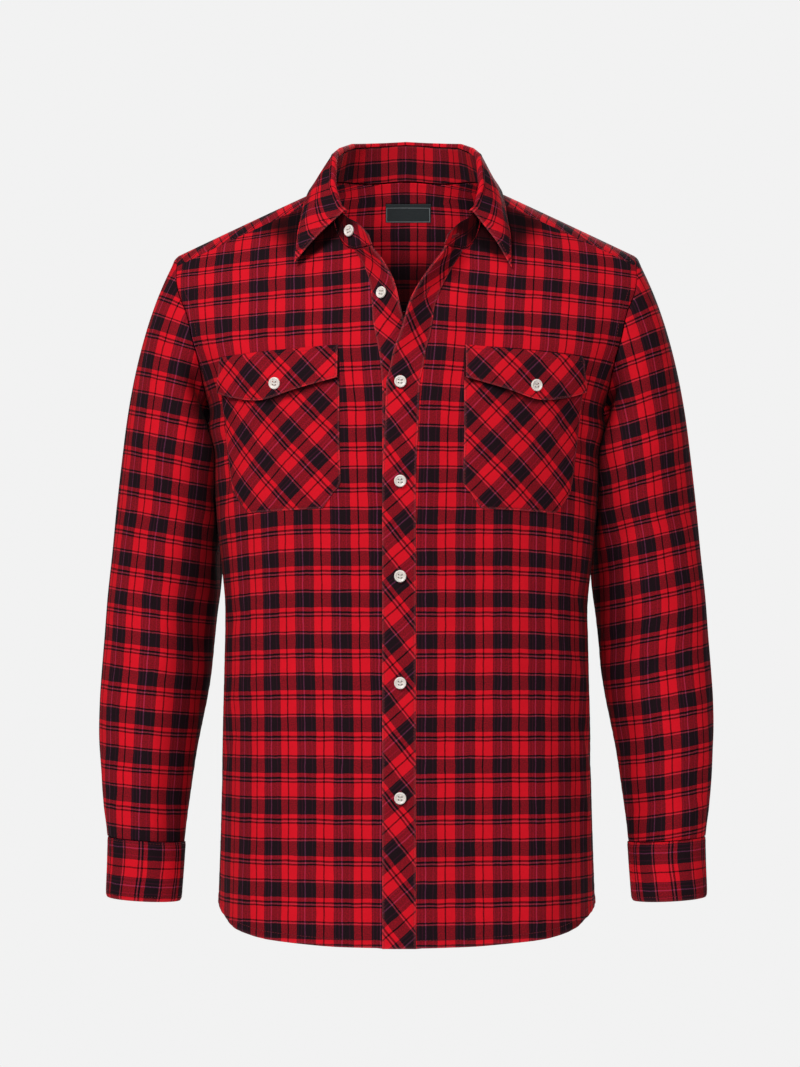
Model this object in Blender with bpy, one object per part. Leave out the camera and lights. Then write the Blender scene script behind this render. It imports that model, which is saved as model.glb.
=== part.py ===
"""A man's long-sleeved flannel shirt, filled out as if it were worn, with nobody in it.

Units are metres and +Z is up. The front faces -Y and the wearer's left side is +X. The origin is
the middle of the neck, level with the shoulder ridge beside the collar, where a neck and two
shoulders hold the shirt up. "right" and "left" in names are the wearer's.

Every piece of cloth is a wall: a surface function gives its outer points, and the wall follows
those points at the cloth's thickness. Neighbours along a seam share the seam's points, 0.3 mm
apart, and what lies on a panel takes that panel's points and moves them out.
"""
import math

import bpy
import numpy as np

# Cloth
CLOTH = 0.0012           # thickness of one flannel panel
STRIP = 0.0011           # thickness of the placket, the band and the pockets
SEAM_GAP = 0.0003        # between two pieces that are sewn together
LAY_GAP = 0.0004         # between a strip and the panel whose points it shares
PATCH_GAP = 0.0011       # between a patch and the panel it lies on
FLAP_OUT = 0.0042        # outer face of a flap from its front, over the pocket
LAP_ENDS = (-0.125, -0.070)   # between these heights that distance dies away
LAP = 0.0033             # how far the left front stands off the right front where they lap

# Torso
WAIST_POWER = 2.6        # squareness of the torso's cross-section along X
DEPTH_POWER = 2.2        # and along Y
SHOULDER_BASE = -0.210   # where the rounding over the shoulders starts
FRONT_ROUND = 2.0        # how squarely the chest turns over the shoulder
BACK_ROUND = 2.6         # and the back
RIDGE_TOP = 0.0436       # the shoulder ridge's line carried on to the middle
RIDGE_SLOPE = 0.478
RIDGE_BLEND = 0.030      # rounds the ridge's line inside the neck
ARMPIT = -0.230
FLAT_HALF = 0.253        # cloth from the middle of the front to the side seam
HEM_MIDDLE = -0.7445
YOKE_BACK = -0.115       # the yoke's straight seam across the back
YOKE_DROP = 0.0115       # the yoke's front seam below the ridge
STRIP_WIDTH = 0.0325     # the placket and the button band

TORSO = (
    ("z", "half_width", "front", "back"),
    (-0.760, 0.1880, 0.137, 0.137),
    (-0.700, 0.1870, 0.136, 0.135),
    (-0.600, 0.1845, 0.135, 0.130),
    (-0.540, 0.1835, 0.132, 0.121),
    (-0.480, 0.1820, 0.129, 0.111),
    (-0.420, 0.1810, 0.128, 0.106),
    (-0.368, 0.1855, 0.129, 0.108),
    (-0.336, 0.1890, 0.130, 0.112),
    (-0.288, 0.1925, 0.132, 0.118),
    (-0.230, 0.1945, 0.131, 0.123),
    (-0.190, 0.2090, 0.128, 0.125),
    (-0.150, 0.2390, 0.119, 0.125),
    (-0.110, 0.2620, 0.108, 0.124),
    (-0.068, 0.2800, 0.093, 0.124),
    (0.000, 0.3000, 0.078, 0.125),
    (0.060, 0.3120, 0.070, 0.120),
)

ARMHOLE = (
    ("z", "x"),
    (-0.2300, 0.1945),
    (-0.2120, 0.1985),
    (-0.1900, 0.2025),
    (-0.1730, 0.2055),
    (-0.1495, 0.2120),
    (-0.1270, 0.2170),
    (-0.1075, 0.2250),
    (-0.0900, 0.2285),
    (-0.0640, 0.2288),
)

HEM = (
    ("share", "rise"),   # share of the way from the front's middle to the side seam
    (0.00, 0.0000),
    (0.32, 0.0010),
    (0.44, 0.0030),
    (0.59, 0.0062),
    (0.70, 0.0112),
    (0.76, 0.0148),
    (0.83, 0.0210),
    (0.92, 0.0277),
    (1.00, 0.0330),
)

# The fronts' edges as seen from the front: they part at the neck and lap from the first button
EDGE_RIGHT = (
    ("z", "x", "flare"),
    (-0.7600, 0.0089, 0.000),
    (-0.2100, 0.0089, 0.000),
    (-0.1750, 0.0065, 0.000),
    (-0.1570, 0.0035, 0.001),
    (-0.1440, 0.0005, 0.005),
    (-0.1360, -0.0024, 0.010),
    (-0.1271, -0.0053, 0.016),
    (-0.0997, -0.0121, 0.024),
    (-0.0756, -0.0248, 0.031),
    (-0.0630, -0.0346, 0.034),
    (-0.0540, -0.0378, 0.034),
    (-0.0350, -0.0388, 0.034),
    (-0.0100, -0.0388, 0.034),
)
EDGE_LEFT = (
    ("z", "x", "flare"),
    (-0.7600, -0.0237, 0.000),
    (-0.3000, -0.0237, 0.000),
    (-0.2278, -0.0208, 0.000),
    (-0.1978, -0.0198, 0.001),
    (-0.1814, -0.0160, 0.004),
    (-0.1668, -0.0131, 0.008),
    (-0.1514, -0.0073, 0.012),
    (-0.1360, -0.0024, 0.017),
    (-0.1228, 0.0011, 0.020),
    (-0.1037, 0.0102, 0.024),
    (-0.0847, 0.0228, 0.029),
    (-0.0630, 0.0375, 0.034),
    (-0.0560, 0.0388, 0.034),
    (-0.0350, 0.0390, 0.034),
    (-0.0100, 0.0390, 0.034),
)
FLARE_REACH = 0.036      # how far from its edge an open front rolls forward

NECK_FRONT = (
    ("share", "x", "z"),  # from the stand's end to the yoke's front corner
    (0.00, 0.0355, -0.0630),
    (0.30, 0.0500, -0.0655),
    (0.55, 0.0632, -0.0575),
    (0.78, 0.0715, -0.0360),
    (1.00, 0.0752, -0.0066),
)
NECK_SIDE = 0.0775       # half the neck's width
NECK_BACK = 0.0130       # height of the neck seam at the back

# Collar
STAND_RISE = (
    ("share", "out", "back", "up"),  # stand's top from its foot, from its front end to the back
    (0.00, 0.003, 0.004, 0.010),
    (0.22, 0.004, 0.008, 0.028),
    (0.36, 0.003, 0.006, 0.034),
    (0.43, -0.001, 0.002, 0.035),
    (0.50, -0.004, -0.001, 0.028),
    (0.62, -0.006, 0.001, 0.0275),
    (0.75, -0.003, 0.006, 0.0345),
    (0.86, -0.001, 0.010, 0.0370),
    (1.00, 0.000, 0.012, 0.0370),
)
FALL_START = 7 / 24      # the fall's front edge, as a share of the stand's half length
FALL_EDGE = (
    ("share", "x", "y", "z"),  # the fall's free edge, from its tip to the middle of the back
    (0.00, 0.1066, -0.0770, -0.0800),
    (0.13, 0.1056, -0.0640, -0.0560),
    (0.26, 0.1030, -0.0490, -0.0370),
    (0.38, 0.0998, -0.0320, -0.0180),
    (0.50, 0.0955, -0.0050, -0.0015),
    (0.62, 0.0895, 0.0300, 0.0010),
    (0.75, 0.0740, 0.0630, 0.0000),
    (0.88, 0.0420, 0.0840, 0.0020),
    (1.00, 0.0000, 0.0920, 0.0040),
)
FALL_ROLL_HEIGHT = 0.0039   # of the roll over the stand
FALL_ROLL_WIDTH = 0.0064
FALL_ROLL_ROWS = 3
FALL_BULGE = 0.0030
FALL_GAP = 0.0009        # between the fall's root and the stand's top
STAND_GAP = 0.0010       # between the stand's foot and the neck seam
FALL_TIP_SHIFT = 0.0035  # both tips lie this far towards the wearer's right
FALL_TIP_DROP = 0.0024   # the left tip lies lower by this, the right one higher

# Sleeves: x is measured outward from the shirt's middle
SLEEVE = (
    ("z", "x", "y", "half_width", "half_depth", "tilt"),
    (-0.7100, 0.2622, -0.004, 0.0372, 0.0370, 3.0),
    (-0.6485, 0.2598, 0.002, 0.0388, 0.0380, 3.7),
    (-0.6200, 0.2605, 0.005, 0.0422, 0.0410, 5.0),
    (-0.6000, 0.2602, 0.007, 0.0445, 0.0435, 6.0),
    (-0.5600, 0.2590, 0.012, 0.0488, 0.0470, 7.0),
    (-0.5200, 0.2552, 0.017, 0.0525, 0.0500, 8.0),
    (-0.5000, 0.2527, 0.020, 0.0540, 0.0520, 8.5),
    (-0.4600, 0.2482, 0.024, 0.0555, 0.0540, 9.0),
    (-0.4200, 0.2450, 0.027, 0.0558, 0.0560, 10.0),
    (-0.3800, 0.2397, 0.027, 0.0567, 0.0580, 11.0),
    (-0.3400, 0.2352, 0.024, 0.0570, 0.0610, 12.0),
    (-0.3000, 0.2312, 0.018, 0.0562, 0.0640, 12.5),
    (-0.2620, 0.2272, 0.012, 0.0552, 0.0660, 13.0),
)
SLEEVE_TOP = -0.2620     # the first ring that goes all round the arm
CUFF_TOP = -0.6485
CUFF_BOTTOM = -0.7075
SLEEVE_CLEAR = 0.0035    # between the sleeve and the torso beside it
SLEEVE_SOFT = 0.0080     # how softly the sleeve flattens against the torso
CAP_START = (0.47, -0.88)   # direction in which the sleeve's crown leaves its seam: out, up
CAP_SIDE = (0.75, -0.66)    # and the sleeve's front and back
CAP_UNDER = (0.88, -0.47)   # and its underarm, which hangs back over the panel
CAP_END = (0.12, -0.99)
UNDER_GAP = 0.0008       # between the sleeve and the panel that it hangs back over

SLIT_START = 0.004       # the strip over the sleeve's slit, above the cuff
SLIT_LENGTH = 0.110
SLIT_WIDTH = 0.022

CUFF_LAP = 0.022         # how far a cuff laps over itself
CUFF_LAP_ANGLE = -62.0   # middle of the lap, degrees from the outer side towards the front
CUFF_LAP_STEP = 0.0021   # between the two layers of the lap

# The largest folds: soft troughs (minus) and ridges, as rows
TORSO_FOLDS = (
    ("half", "s", "z", "length", "width", "lean", "push"),  # s is cloth from the middle line
    (-1, -0.190, -0.560, 0.30, 0.024, 4, -0.0035),
    (-1, -0.140, -0.620, 0.26, 0.026, 2, 0.0025),
    (-1, 0.185, -0.600, 0.30, 0.024, -3, -0.0032),
    (-1, 0.132, -0.640, 0.24, 0.028, -2, 0.0026),
    (-1, -0.080, -0.680, 0.20, 0.030, 3, -0.0022),
    (-1, 0.085, -0.690, 0.18, 0.030, 0, -0.0020),
    (1, -0.160, -0.300, 0.22, 0.026, 28, -0.0040),
    (1, 0.165, -0.310, 0.20, 0.026, -30, -0.0036),
    (1, -0.105, -0.520, 0.34, 0.030, 5, -0.0045),
    (1, 0.095, -0.540, 0.36, 0.032, -4, -0.0040),
    (1, -0.020, -0.600, 0.30, 0.034, 2, 0.0030),
    (1, 0.180, -0.600, 0.26, 0.028, -3, 0.0030),
    (1, -0.190, -0.610, 0.26, 0.028, 4, 0.0030),
)
SLEEVE_FOLDS = (
    ("side", "angle", "z", "length", "width", "lean", "push"),  # angle from the outer side
    (-1, 110, -0.405, 0.100, 0.018, 118, -0.0045),
    (-1, 140, -0.440, 0.090, 0.018, 124, -0.0040),
    (-1, 95, -0.350, 0.090, 0.020, 110, 0.0025),
    (-1, 60, -0.560, 0.080, 0.018, 78, -0.0025),
    (-1, 120, -0.600, 0.060, 0.016, 140, -0.0030),
    (-1, 250, -0.380, 0.110, 0.020, 65, -0.0045),
    (-1, 225, -0.450, 0.100, 0.020, 55, -0.0040),
    (-1, 290, -0.520, 0.090, 0.020, 110, 0.0030),
    (1, 120, -0.450, 0.100, 0.018, 116, -0.0042),
    (1, 80, -0.480, 0.080, 0.018, 104, -0.0022),
    (1, 140, -0.380, 0.080, 0.018, 124, -0.0030),
    (1, 60, -0.590, 0.070, 0.018, 76, -0.0025),
    (1, 115, -0.610, 0.060, 0.016, 135, -0.0028),
    (1, 245, -0.370, 0.110, 0.020, 66, -0.0045),
    (1, 222, -0.440, 0.100, 0.020, 54, -0.0040),
    (1, 285, -0.530, 0.090, 0.020, 108, 0.0030),
)

# Pockets and flaps as seen from the front: x grows outward from their own middle line
PATCH_MIDDLE = -0.0048
POCKET = (
    ("row", "inner", "outer", "z_inner", "z_outer"),  # from the mouth down, with cut corners
    (0, 0.0603, 0.1785, -0.1680, -0.1810),
    (1, 0.0603, 0.1757, -0.2080, -0.2150),
    (2, 0.0603, 0.1705, -0.2490, -0.2600),
    (3, 0.0590, 0.1645, -0.2915, -0.3020),
    (4, 0.0675, 0.1580, -0.3055, -0.3130),
    (5, 0.0765, 0.1500, -0.3190, -0.3235),
)
POCKET_NODES = (0, 0.5, 1, 1.5, 2, 2.5, 3, 4, 5)
FLAP = (
    ("along", "top", "bottom"),  # from the inner end to the outer one, with a blunt point
    (0.00, -0.1600, -0.1930),
    (0.28, -0.1630, -0.2035),
    (0.56, -0.1659, -0.2135),
    (0.80, -0.1685, -0.2100),
    (1.00, -0.1706, -0.2040),
)
FLAP_INNER = 0.0618
FLAP_OUTER = 0.1770

BUTTON_RADIUS = 0.0059
BUTTON_HEIGHT = 0.0024
BUTTON_RIM = 0.0013
BUTTON_DISH = 0.0007
BUTTON_SIDES = 14
BUTTON_GAP = 0.0009      # under a button, where its thread holds it off the cloth
BUTTON_X = -0.0063       # the closing's middle line
BAND_BUTTON = (-0.0228, -0.1095)
PLACKET_BUTTONS = (-0.1968, -0.2926, -0.3846, -0.4881, -0.5990)
FLAP_BUTTONS = {-1: (-0.1263, -0.1976), 1: (0.1240, -0.1995)}
STAND_BUTTON_CELL = 3.2  # the stand's button, in cells from the stand's right end

LABEL_WIDTH = 0.047
LABEL_TOP = -0.006
LABEL_BOTTOM = -0.0245
LABEL_X = 0.002
LABEL_THICK = 0.0010
LABEL_GAP = 0.0010

# Cells of the grids
STRIP_CELLS = 3
NECK_CELLS = 3           # of a front's neck seam beyond its strip
SEAM_CELLS = 9           # of the yoke's front seam
SIDE_ROWS = 17           # from the hem to the armpit
ARM_ROWS = 7             # from the armpit to the yoke, in front
BACK_ARM_ROWS = 5        # and at the back
YOKE_NECK_CELLS = 12
YOKE_ROWS = 8
BACK_CELLS = 22
CAP_ROWS = 6
SLEEVE_ROWS = 16
STAND_ROWS = 3
FALL_ROWS = 7
FALL_CELLS = 34
CUFF_CELLS = 24
CUFF_ROWS = 2
POCKET_CELLS = 9
FLAP_CELLS = 10
FLAP_ROWS = 3
LABEL_CELLS = 4
LABEL_ROWS = 2
SLIT_ROWS = 5

FRONT_CELLS = STRIP_CELLS + NECK_CELLS + SEAM_CELLS
FRONT_ROWS = SIDE_ROWS + ARM_ROWS
YOKE_CELLS = YOKE_NECK_CELLS + 2 * SEAM_CELLS
BACK_ROWS = SIDE_ROWS + BACK_ARM_ROWS
LOOP_CELLS = ARM_ROWS + YOKE_ROWS + BACK_ARM_ROWS
STAND_CELLS = YOKE_NECK_CELLS + 2 * (NECK_CELLS + STRIP_CELLS)


# Curves through tables

def slopes(x, y):
    """Slopes at the points for a smooth curve that never overshoots them."""
    steps = np.diff(x)
    rates = np.diff(y) / steps
    slope = np.empty_like(y)
    slope[0] = rates[0]
    slope[-1] = rates[-1]
    for i in range(1, len(x) - 1):
        before, after = rates[i - 1], rates[i]
        if before * after <= 0:
            slope[i] = 0.0
            continue
        w_before = 2 * steps[i] + steps[i - 1]
        w_after = steps[i] + 2 * steps[i - 1]
        slope[i] = (w_before + w_after) / (w_before / before + w_after / after)
    return slope


def curve(table, name):
    """The named column as a smooth function of the table's first column."""
    names = table[0]
    rows = np.array(table[1:], dtype=float)
    x = rows[:, 0]
    y = rows[:, names.index(name)]
    slope = slopes(x, y)

    def value(at):
        at = np.clip(np.asarray(at, dtype=float), x[0], x[-1])
        i = np.clip(np.searchsorted(x, at) - 1, 0, len(x) - 2)
        width = x[i + 1] - x[i]
        t = (at - x[i]) / width
        return ((1 + 2 * t) * (1 - t) ** 2 * y[i] + t * (1 - t) ** 2 * width * slope[i]
                + t * t * (3 - 2 * t) * y[i + 1] + t * t * (t - 1) * width * slope[i + 1])
    return value


def smooth_step(start, end, x):
    t = np.clip((x - start) / (end - start), 0.0, 1.0)
    return t * t * (3 - 2 * t)


def unit(vectors):
    return vectors / np.maximum(np.linalg.norm(vectors, axis=-1, keepdims=True), 1e-12)


half_width = curve(TORSO, "half_width")
front_depth = curve(TORSO, "front")
back_depth = curve(TORSO, "back")
armhole_x = curve(ARMHOLE, "x")
hem_rise = curve(HEM, "rise")
edge_x = {-1: curve(EDGE_RIGHT, "x"), 1: curve(EDGE_LEFT, "x")}
edge_flare = {-1: curve(EDGE_RIGHT, "flare"), 1: curve(EDGE_LEFT, "flare")}
neck_x = curve(NECK_FRONT, "x")
neck_z = curve(NECK_FRONT, "z")


# The torso: tau runs from 0 at the middle line to 1 at the side seam

def fold_push(table, group, across_cloth, z):
    """How far one group's folds push the cloth out, by cloth distance from each and height."""
    total = np.zeros(np.shape(z))
    for row in table[1:]:
        fold = dict(zip(table[0], row))
        if row[0] != group:
            continue
        lean = math.radians(fold["lean"])
        level = across_cloth(fold)
        rise = z - fold["z"]
        along = rise * math.cos(lean) + level * math.sin(lean)
        across = level * math.cos(lean) - rise * math.sin(lean)
        window = np.clip(1 - (2 * along / fold["length"]) ** 2, 0, 1) ** 2
        total = total + fold["push"] * window * np.exp(-(across / fold["width"]) ** 2)
    return total


def ridge(x):
    return RIDGE_TOP - RIDGE_SLOPE * np.hypot(x, RIDGE_BLEND)


def torso_depth(x, z, half):
    """y of the torso at x and z, in front for half -1 and at the back for half 1."""
    deep = front_depth(z) if half < 0 else back_depth(z)
    power = FRONT_ROUND if half < 0 else BACK_ROUND
    share = np.clip(np.abs(x) / half_width(z), 0, 1)
    level = np.clip((z - SHOULDER_BASE) / (ridge(x) - SHOULDER_BASE), 0, 1)
    over = (1 - level ** power) ** (1 / power)
    return half * deep * (1 - share ** WAIST_POWER) ** (1 / DEPTH_POWER) * over


def tau_of(x, z):
    return 2 / math.pi * np.arcsin(np.clip(x / half_width(z), -1, 1))


def torso(tau, z, half):
    wide = half_width(z)
    x = wide * np.sin(math.pi / 2 * tau)
    y = torso_depth(x, z, half)
    push = fold_push(TORSO_FOLDS, half, lambda fold: tau * FLAT_HALF - fold["s"], z)
    deep = front_depth(z)
    out = unit(np.stack([x / wide ** 2, y / deep ** 2, np.zeros_like(x)], axis=-1))
    return np.stack([x, y, z + np.zeros_like(x)], axis=-1) + push[..., None] * out


def front(tau, z, side):
    """A front: the torso, rolled forward where it is open and lifted where it laps over."""
    point = torso(tau, z, -1)
    inward = side * (point[..., 0] - edge_x[side](z))
    roll = edge_flare[side](z) * np.clip(1 - inward / FLARE_REACH, 0, 1) ** 2
    point[..., 1] -= roll
    if side > 0:
        lap = LAP * (1 - smooth_step(*LAP_ENDS, z))
        point[..., 1] -= lap * (1 - smooth_step(0.036, 0.075, inward))
    return point


STRIP_STEPS = np.linspace(0, 0.040, 81)


def strip_x(z, s, side):
    """x at cloth distance s in from a front's edge."""
    z = np.asarray(z, dtype=float)
    x = edge_x[side](z)[..., None] + side * STRIP_STEPS
    deep = z[..., None] + np.zeros_like(x)
    points = front(tau_of(x, deep), deep, side)
    lengths = np.linalg.norm(np.diff(points[..., :2], axis=-2), axis=-1)
    run = np.concatenate([np.zeros(lengths.shape[:-1] + (1,)), np.cumsum(lengths, axis=-1)], axis=-1)
    flat_x = x.reshape(-1, len(STRIP_STEPS))
    flat_run = run.reshape(-1, len(STRIP_STEPS))
    flat_s = (s + np.zeros_like(z)).ravel()
    found = [np.interp(at, r, line) for at, r, line in zip(flat_s, flat_run, flat_x)]
    return np.array(found).reshape(z.shape)


def row_height(j, arm_rows):
    """Row j as a share of the side: 0 to 1 from hem to armpit, then 1 to 2 along the armhole."""
    j = np.asarray(j, dtype=float)
    return np.where(j < SIDE_ROWS, j / SIDE_ROWS, 1 + (j - SIDE_ROWS) / arm_rows)


def corner_z():
    """Height at which the armhole meets the yoke's front seam."""
    return float(ridge(armhole_x(-0.078)) - YOKE_DROP)


CENTRE_ARM_LEVEL = -0.200   # where the row that reaches the armpit starts at the front's edge
TOP_PULL = 5.0              # how soon the rows take the shape of the panel's top edge


def levels(height, bottom, middle, top):
    return np.where(height < 1, bottom + (middle - bottom) * height,
                    middle + (top - middle) * (height - 1))


def front_top(i, side):
    """tau and z along a front's top edge, beyond its strip: the neck seam, then the yoke's seam."""
    cells = i - STRIP_CELLS
    foot_z = float(neck_z(0.30))
    foot_x = float(strip_x(np.array(foot_z), STRIP_WIDTH, side))
    share = 0.30 + 0.70 * np.clip(cells / NECK_CELLS, 0, 1)
    shift = (abs(foot_x) - float(neck_x(0.30))) * np.clip(1 - cells / NECK_CELLS, 0, 1)
    on_neck_x = neck_x(share) + shift
    on_neck_z = neck_z(share)
    along = np.clip((cells - NECK_CELLS) / SEAM_CELLS, 0, 1)
    far = corner_z()
    seam_x = NECK_FRONT[-1][1] + along * (float(armhole_x(far)) - NECK_FRONT[-1][1])
    seam_z = ridge(seam_x) - YOKE_DROP
    x = np.where(cells < NECK_CELLS, on_neck_x, seam_x)
    z = np.where(cells < NECK_CELLS, on_neck_z, seam_z)
    return side * tau_of(x, z), z


def front_grid(i, j, side):
    """Column i and row j of a front: columns 0 to STRIP_CELLS are its strip."""
    i, j = np.broadcast_arrays(np.asarray(i, dtype=float), np.asarray(j, dtype=float))
    height = row_height(j, ARM_ROWS)
    cells = FRONT_CELLS - STRIP_CELLS
    u = np.clip((i - STRIP_CELLS) / cells, 0, 1)
    top_tau, top_z = front_top(np.maximum(i, STRIP_CELLS), side)
    foot_tau, foot_z = front_top(np.full_like(i, STRIP_CELLS), side)
    last_z = corner_z()
    lift = (j / FRONT_ROWS) ** TOP_PULL
    # heights: the strip's seam line, the side, and the top edge's own shape near the top
    hem_share = np.clip(i / FRONT_CELLS, 0, 1)
    strip_z = levels(height, HEM_MIDDLE, CENTRE_ARM_LEVEL, foot_z)
    side_z = levels(height, HEM_MIDDLE + hem_rise(1.0), ARMPIT, last_z)
    z = strip_z + (side_z - strip_z) * u
    drop = np.clip(1 - height, 0, 1) ** 3
    z = z + drop * (hem_rise(hem_share) - hem_rise(1.0) * u)
    z = z + lift * (top_z - (foot_z + (last_z - foot_z) * u))
    # the strip's rows stay level but for the neck seam's slope
    edge_top = float(neck_z(0.0))
    s = np.clip(i / STRIP_CELLS, 0, 1) * STRIP_WIDTH
    tilt = (edge_top - foot_z) * (1 - np.clip(i / STRIP_CELLS, 0, 1)) * lift
    on_strip = i <= STRIP_CELLS
    z = np.where(on_strip, strip_z + tilt, z)
    # taus
    strip_tau = tau_of(strip_x(z, s, side), z)
    seam_tau = tau_of(strip_x(strip_z, STRIP_WIDTH, side), strip_z)
    side_tau = side * np.where(height < 1, 1.0, tau_of(armhole_x(side_z), side_z))
    tau = seam_tau + (side_tau - seam_tau) * u
    end_tau = side * float(tau_of(armhole_x(last_z), last_z))
    tau = tau + lift * (top_tau - (foot_tau + (end_tau - foot_tau) * u))
    return front(np.where(on_strip, strip_tau, tau), z, side)


def back_grid(i, j):
    """Column i and row j of the back, from the wearer's right side to the left."""
    i, j = np.broadcast_arrays(np.asarray(i, dtype=float), np.asarray(j, dtype=float))
    height = row_height(j, BACK_ARM_ROWS)
    across = 2 * i / BACK_CELLS - 1
    u = np.abs(across)
    middle_z = levels(height, HEM_MIDDLE, ARMPIT + 0.012, YOKE_BACK)
    side_z = levels(height, HEM_MIDDLE + hem_rise(1.0), ARMPIT, YOKE_BACK)
    z = middle_z + (side_z - middle_z) * u ** 2
    z = z + np.clip(1 - height, 0, 1) ** 3 * (hem_rise(u) - hem_rise(1.0) * u ** 2)
    end_tau = np.where(height < 1, 1.0, tau_of(armhole_x(side_z), side_z))
    return torso(across * end_tau, z, 1)


# The yoke lies on arches that run over the shoulder at constant x: psi is -1 at the foot of the
# arch in front, 0 on the ridge and 1 at its foot at the back

def arch(x, psi):
    level = np.cos(math.pi / 2 * psi)
    z = SHOULDER_BASE + (ridge(x) - SHOULDER_BASE) * level
    before = torso_depth(x, z, -1)
    behind = torso_depth(x, z, 1)
    return np.stack([x, np.where(psi < 0, before, behind), z], axis=-1)


def psi_of(x, z, half):
    level = np.clip((z - SHOULDER_BASE) / (ridge(x) - SHOULDER_BASE), -1, 1)
    return half * 2 / math.pi * np.arccos(level)


def yoke_top(i):
    """x and psi along the yoke's upper edge: front seam, neck, front seam."""
    far = float(armhole_x(corner_z()))
    near = NECK_FRONT[-1][1]
    mirrored = np.minimum(i, YOKE_CELLS - i)
    side = np.where(i < YOKE_CELLS / 2, -1.0, 1.0)
    seam = np.clip(mirrored / SEAM_CELLS, 0, 1)
    seam_x = far + (near - far) * seam
    seam_psi = psi_of(seam_x, ridge(seam_x) - YOKE_DROP, -1)
    turn = np.clip((mirrored - SEAM_CELLS) / (YOKE_NECK_CELLS / 2), 0, 1)
    corner_psi = float(psi_of(near, ridge(near) - YOKE_DROP, -1))
    back_psi = float(psi_of(0.0, NECK_BACK, 1))
    # beside the neck the seam goes out to the neck's half width and in again
    angle = math.pi / 2 * smooth_step(0, 1, turn) * 0.35 + math.pi / 2 * turn * 0.65
    swing = np.sin(math.pi * np.clip(turn / 0.45, 0, 1)) * (NECK_SIDE - near)
    neck_at = near * np.cos(angle) ** 0.85 + swing
    neck_psi = corner_psi + (back_psi - corner_psi) * np.sin(angle) ** 0.9
    on_seam = mirrored < SEAM_CELLS
    x = side * np.where(on_seam, seam_x, neck_at)
    return x, np.where(on_seam, seam_psi, neck_psi)


def yoke_grid(i, j):
    """Column i across the shoulders and row j from the back seam to the upper edge."""
    i, j = np.broadcast_arrays(np.asarray(i, dtype=float), np.asarray(j, dtype=float))
    v = j / YOKE_ROWS
    across = 2 * i / YOKE_CELLS - 1
    u = np.abs(across)
    side = np.where(across < 0, -1.0, 1.0)
    back_end = float(armhole_x(YOKE_BACK))
    foot_x = across * back_end
    foot_psi = psi_of(foot_x, YOKE_BACK, 1)
    top_x, top_psi = yoke_top(i)
    end_foot = float(psi_of(back_end, YOKE_BACK, 1))
    front_end = float(armhole_x(corner_z()))
    end_top = float(psi_of(front_end, corner_z(), -1))
    x = foot_x + (top_x - foot_x) * v
    psi = foot_psi + (top_psi - foot_psi) * v
    end_psi = end_foot + (end_top - end_foot) * v
    end_z = SHOULDER_BASE + (ridge(front_end) - SHOULDER_BASE) * np.cos(math.pi / 2 * end_psi)
    end_x = armhole_x(end_z)
    straight = back_end + (front_end - back_end) * v
    x = x + side * u ** 4 * (end_x - straight)
    return arch(x, psi)


# Sleeves: k goes round the armhole from the armpit, up the front, over and down the back

def armhole_point(k, side):
    """The armhole's seam point, and the normal of the panel there."""
    k = np.mod(np.asarray(k, dtype=float), LOOP_CELLS)
    far = FRONT_CELLS
    in_front = k < ARM_ROWS
    over = (k >= ARM_ROWS) & (k < ARM_ROWS + YOKE_ROWS)
    front_j = SIDE_ROWS + np.clip(k, 0, ARM_ROWS)
    yoke_i = 0.0 if side < 0 else float(YOKE_CELLS)
    yoke_j = YOKE_ROWS - np.clip(k - ARM_ROWS, 0, YOKE_ROWS)
    back_i = 0.0 if side < 0 else float(BACK_CELLS)
    back_j = BACK_ROWS - np.clip(k - ARM_ROWS - YOKE_ROWS, 0, BACK_ARM_ROWS)
    choices = (
        (in_front, lambda i, j: front_grid(i, j, side), far, front_j, side, FRONT_CELLS, FRONT_ROWS),
        (over, yoke_grid, yoke_i, yoke_j, -1, YOKE_CELLS, YOKE_ROWS),
        (~in_front & ~over, back_grid, back_i, back_j, -1, BACK_CELLS, BACK_ROWS),
    )
    point = np.zeros(k.shape + (3,))
    normal = np.zeros(k.shape + (3,))
    for chosen, grid, i, j, facing, columns, rows in choices:
        at, facing_out = sample(grid, i + np.zeros_like(k), j, facing, columns, rows)
        point = np.where(chosen[..., None], at, point)
        normal = np.where(chosen[..., None], facing_out, normal)
    return point, normal


def loop_shares(side):
    """Share of the armhole's length at each of its points, from the armpit round to it again."""
    points, _ = armhole_point(np.arange(LOOP_CELLS + 1) % LOOP_CELLS, side)
    run = np.concatenate([[0], np.cumsum(np.linalg.norm(np.diff(points, axis=0), axis=1))])
    return run / run[-1]


sleeve_x = curve(SLEEVE, "x")
sleeve_y = curve(SLEEVE, "y")
sleeve_wide = curve(SLEEVE, "half_width")
sleeve_deep = curve(SLEEVE, "half_depth")
sleeve_tilt = curve(SLEEVE, "tilt")


def arm_ring(angle, level, side, grow=0.0):
    """A point of the sleeve's ring at a height, by its angle from the outer side to the front."""
    wide = sleeve_wide(level)
    deep = sleeve_deep(level)
    radius = (wide + deep) / 2

    def around(fold):
        turn = angle - math.radians(fold["angle"]) + math.pi
        return (turn % (2 * math.pi) - math.pi) * radius
    push = grow + fold_push(SLEEVE_FOLDS, side, around, level)
    x = sleeve_x(level) + (wide + push) * np.cos(angle)
    y = sleeve_y(level) - (deep + push) * np.sin(angle)
    z = level + np.tan(np.radians(sleeve_tilt(level))) * (x - sleeve_x(level))
    deep_here = np.where(y < 0, front_depth(z), back_depth(z))
    beside = np.clip(1 - np.clip(np.abs(y) / deep_here, 0, 1) ** DEPTH_POWER, 0, 1)
    wall = half_width(z) * beside ** (1 / WAIST_POWER) + SLEEVE_CLEAR
    wall = np.where(beside > 0, wall, 0.0)
    over = x - wall
    x = wall + (over + np.sqrt(over ** 2 + SLEEVE_SOFT ** 2)) / 2
    return np.stack([side * x, y, z], axis=-1)


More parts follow.
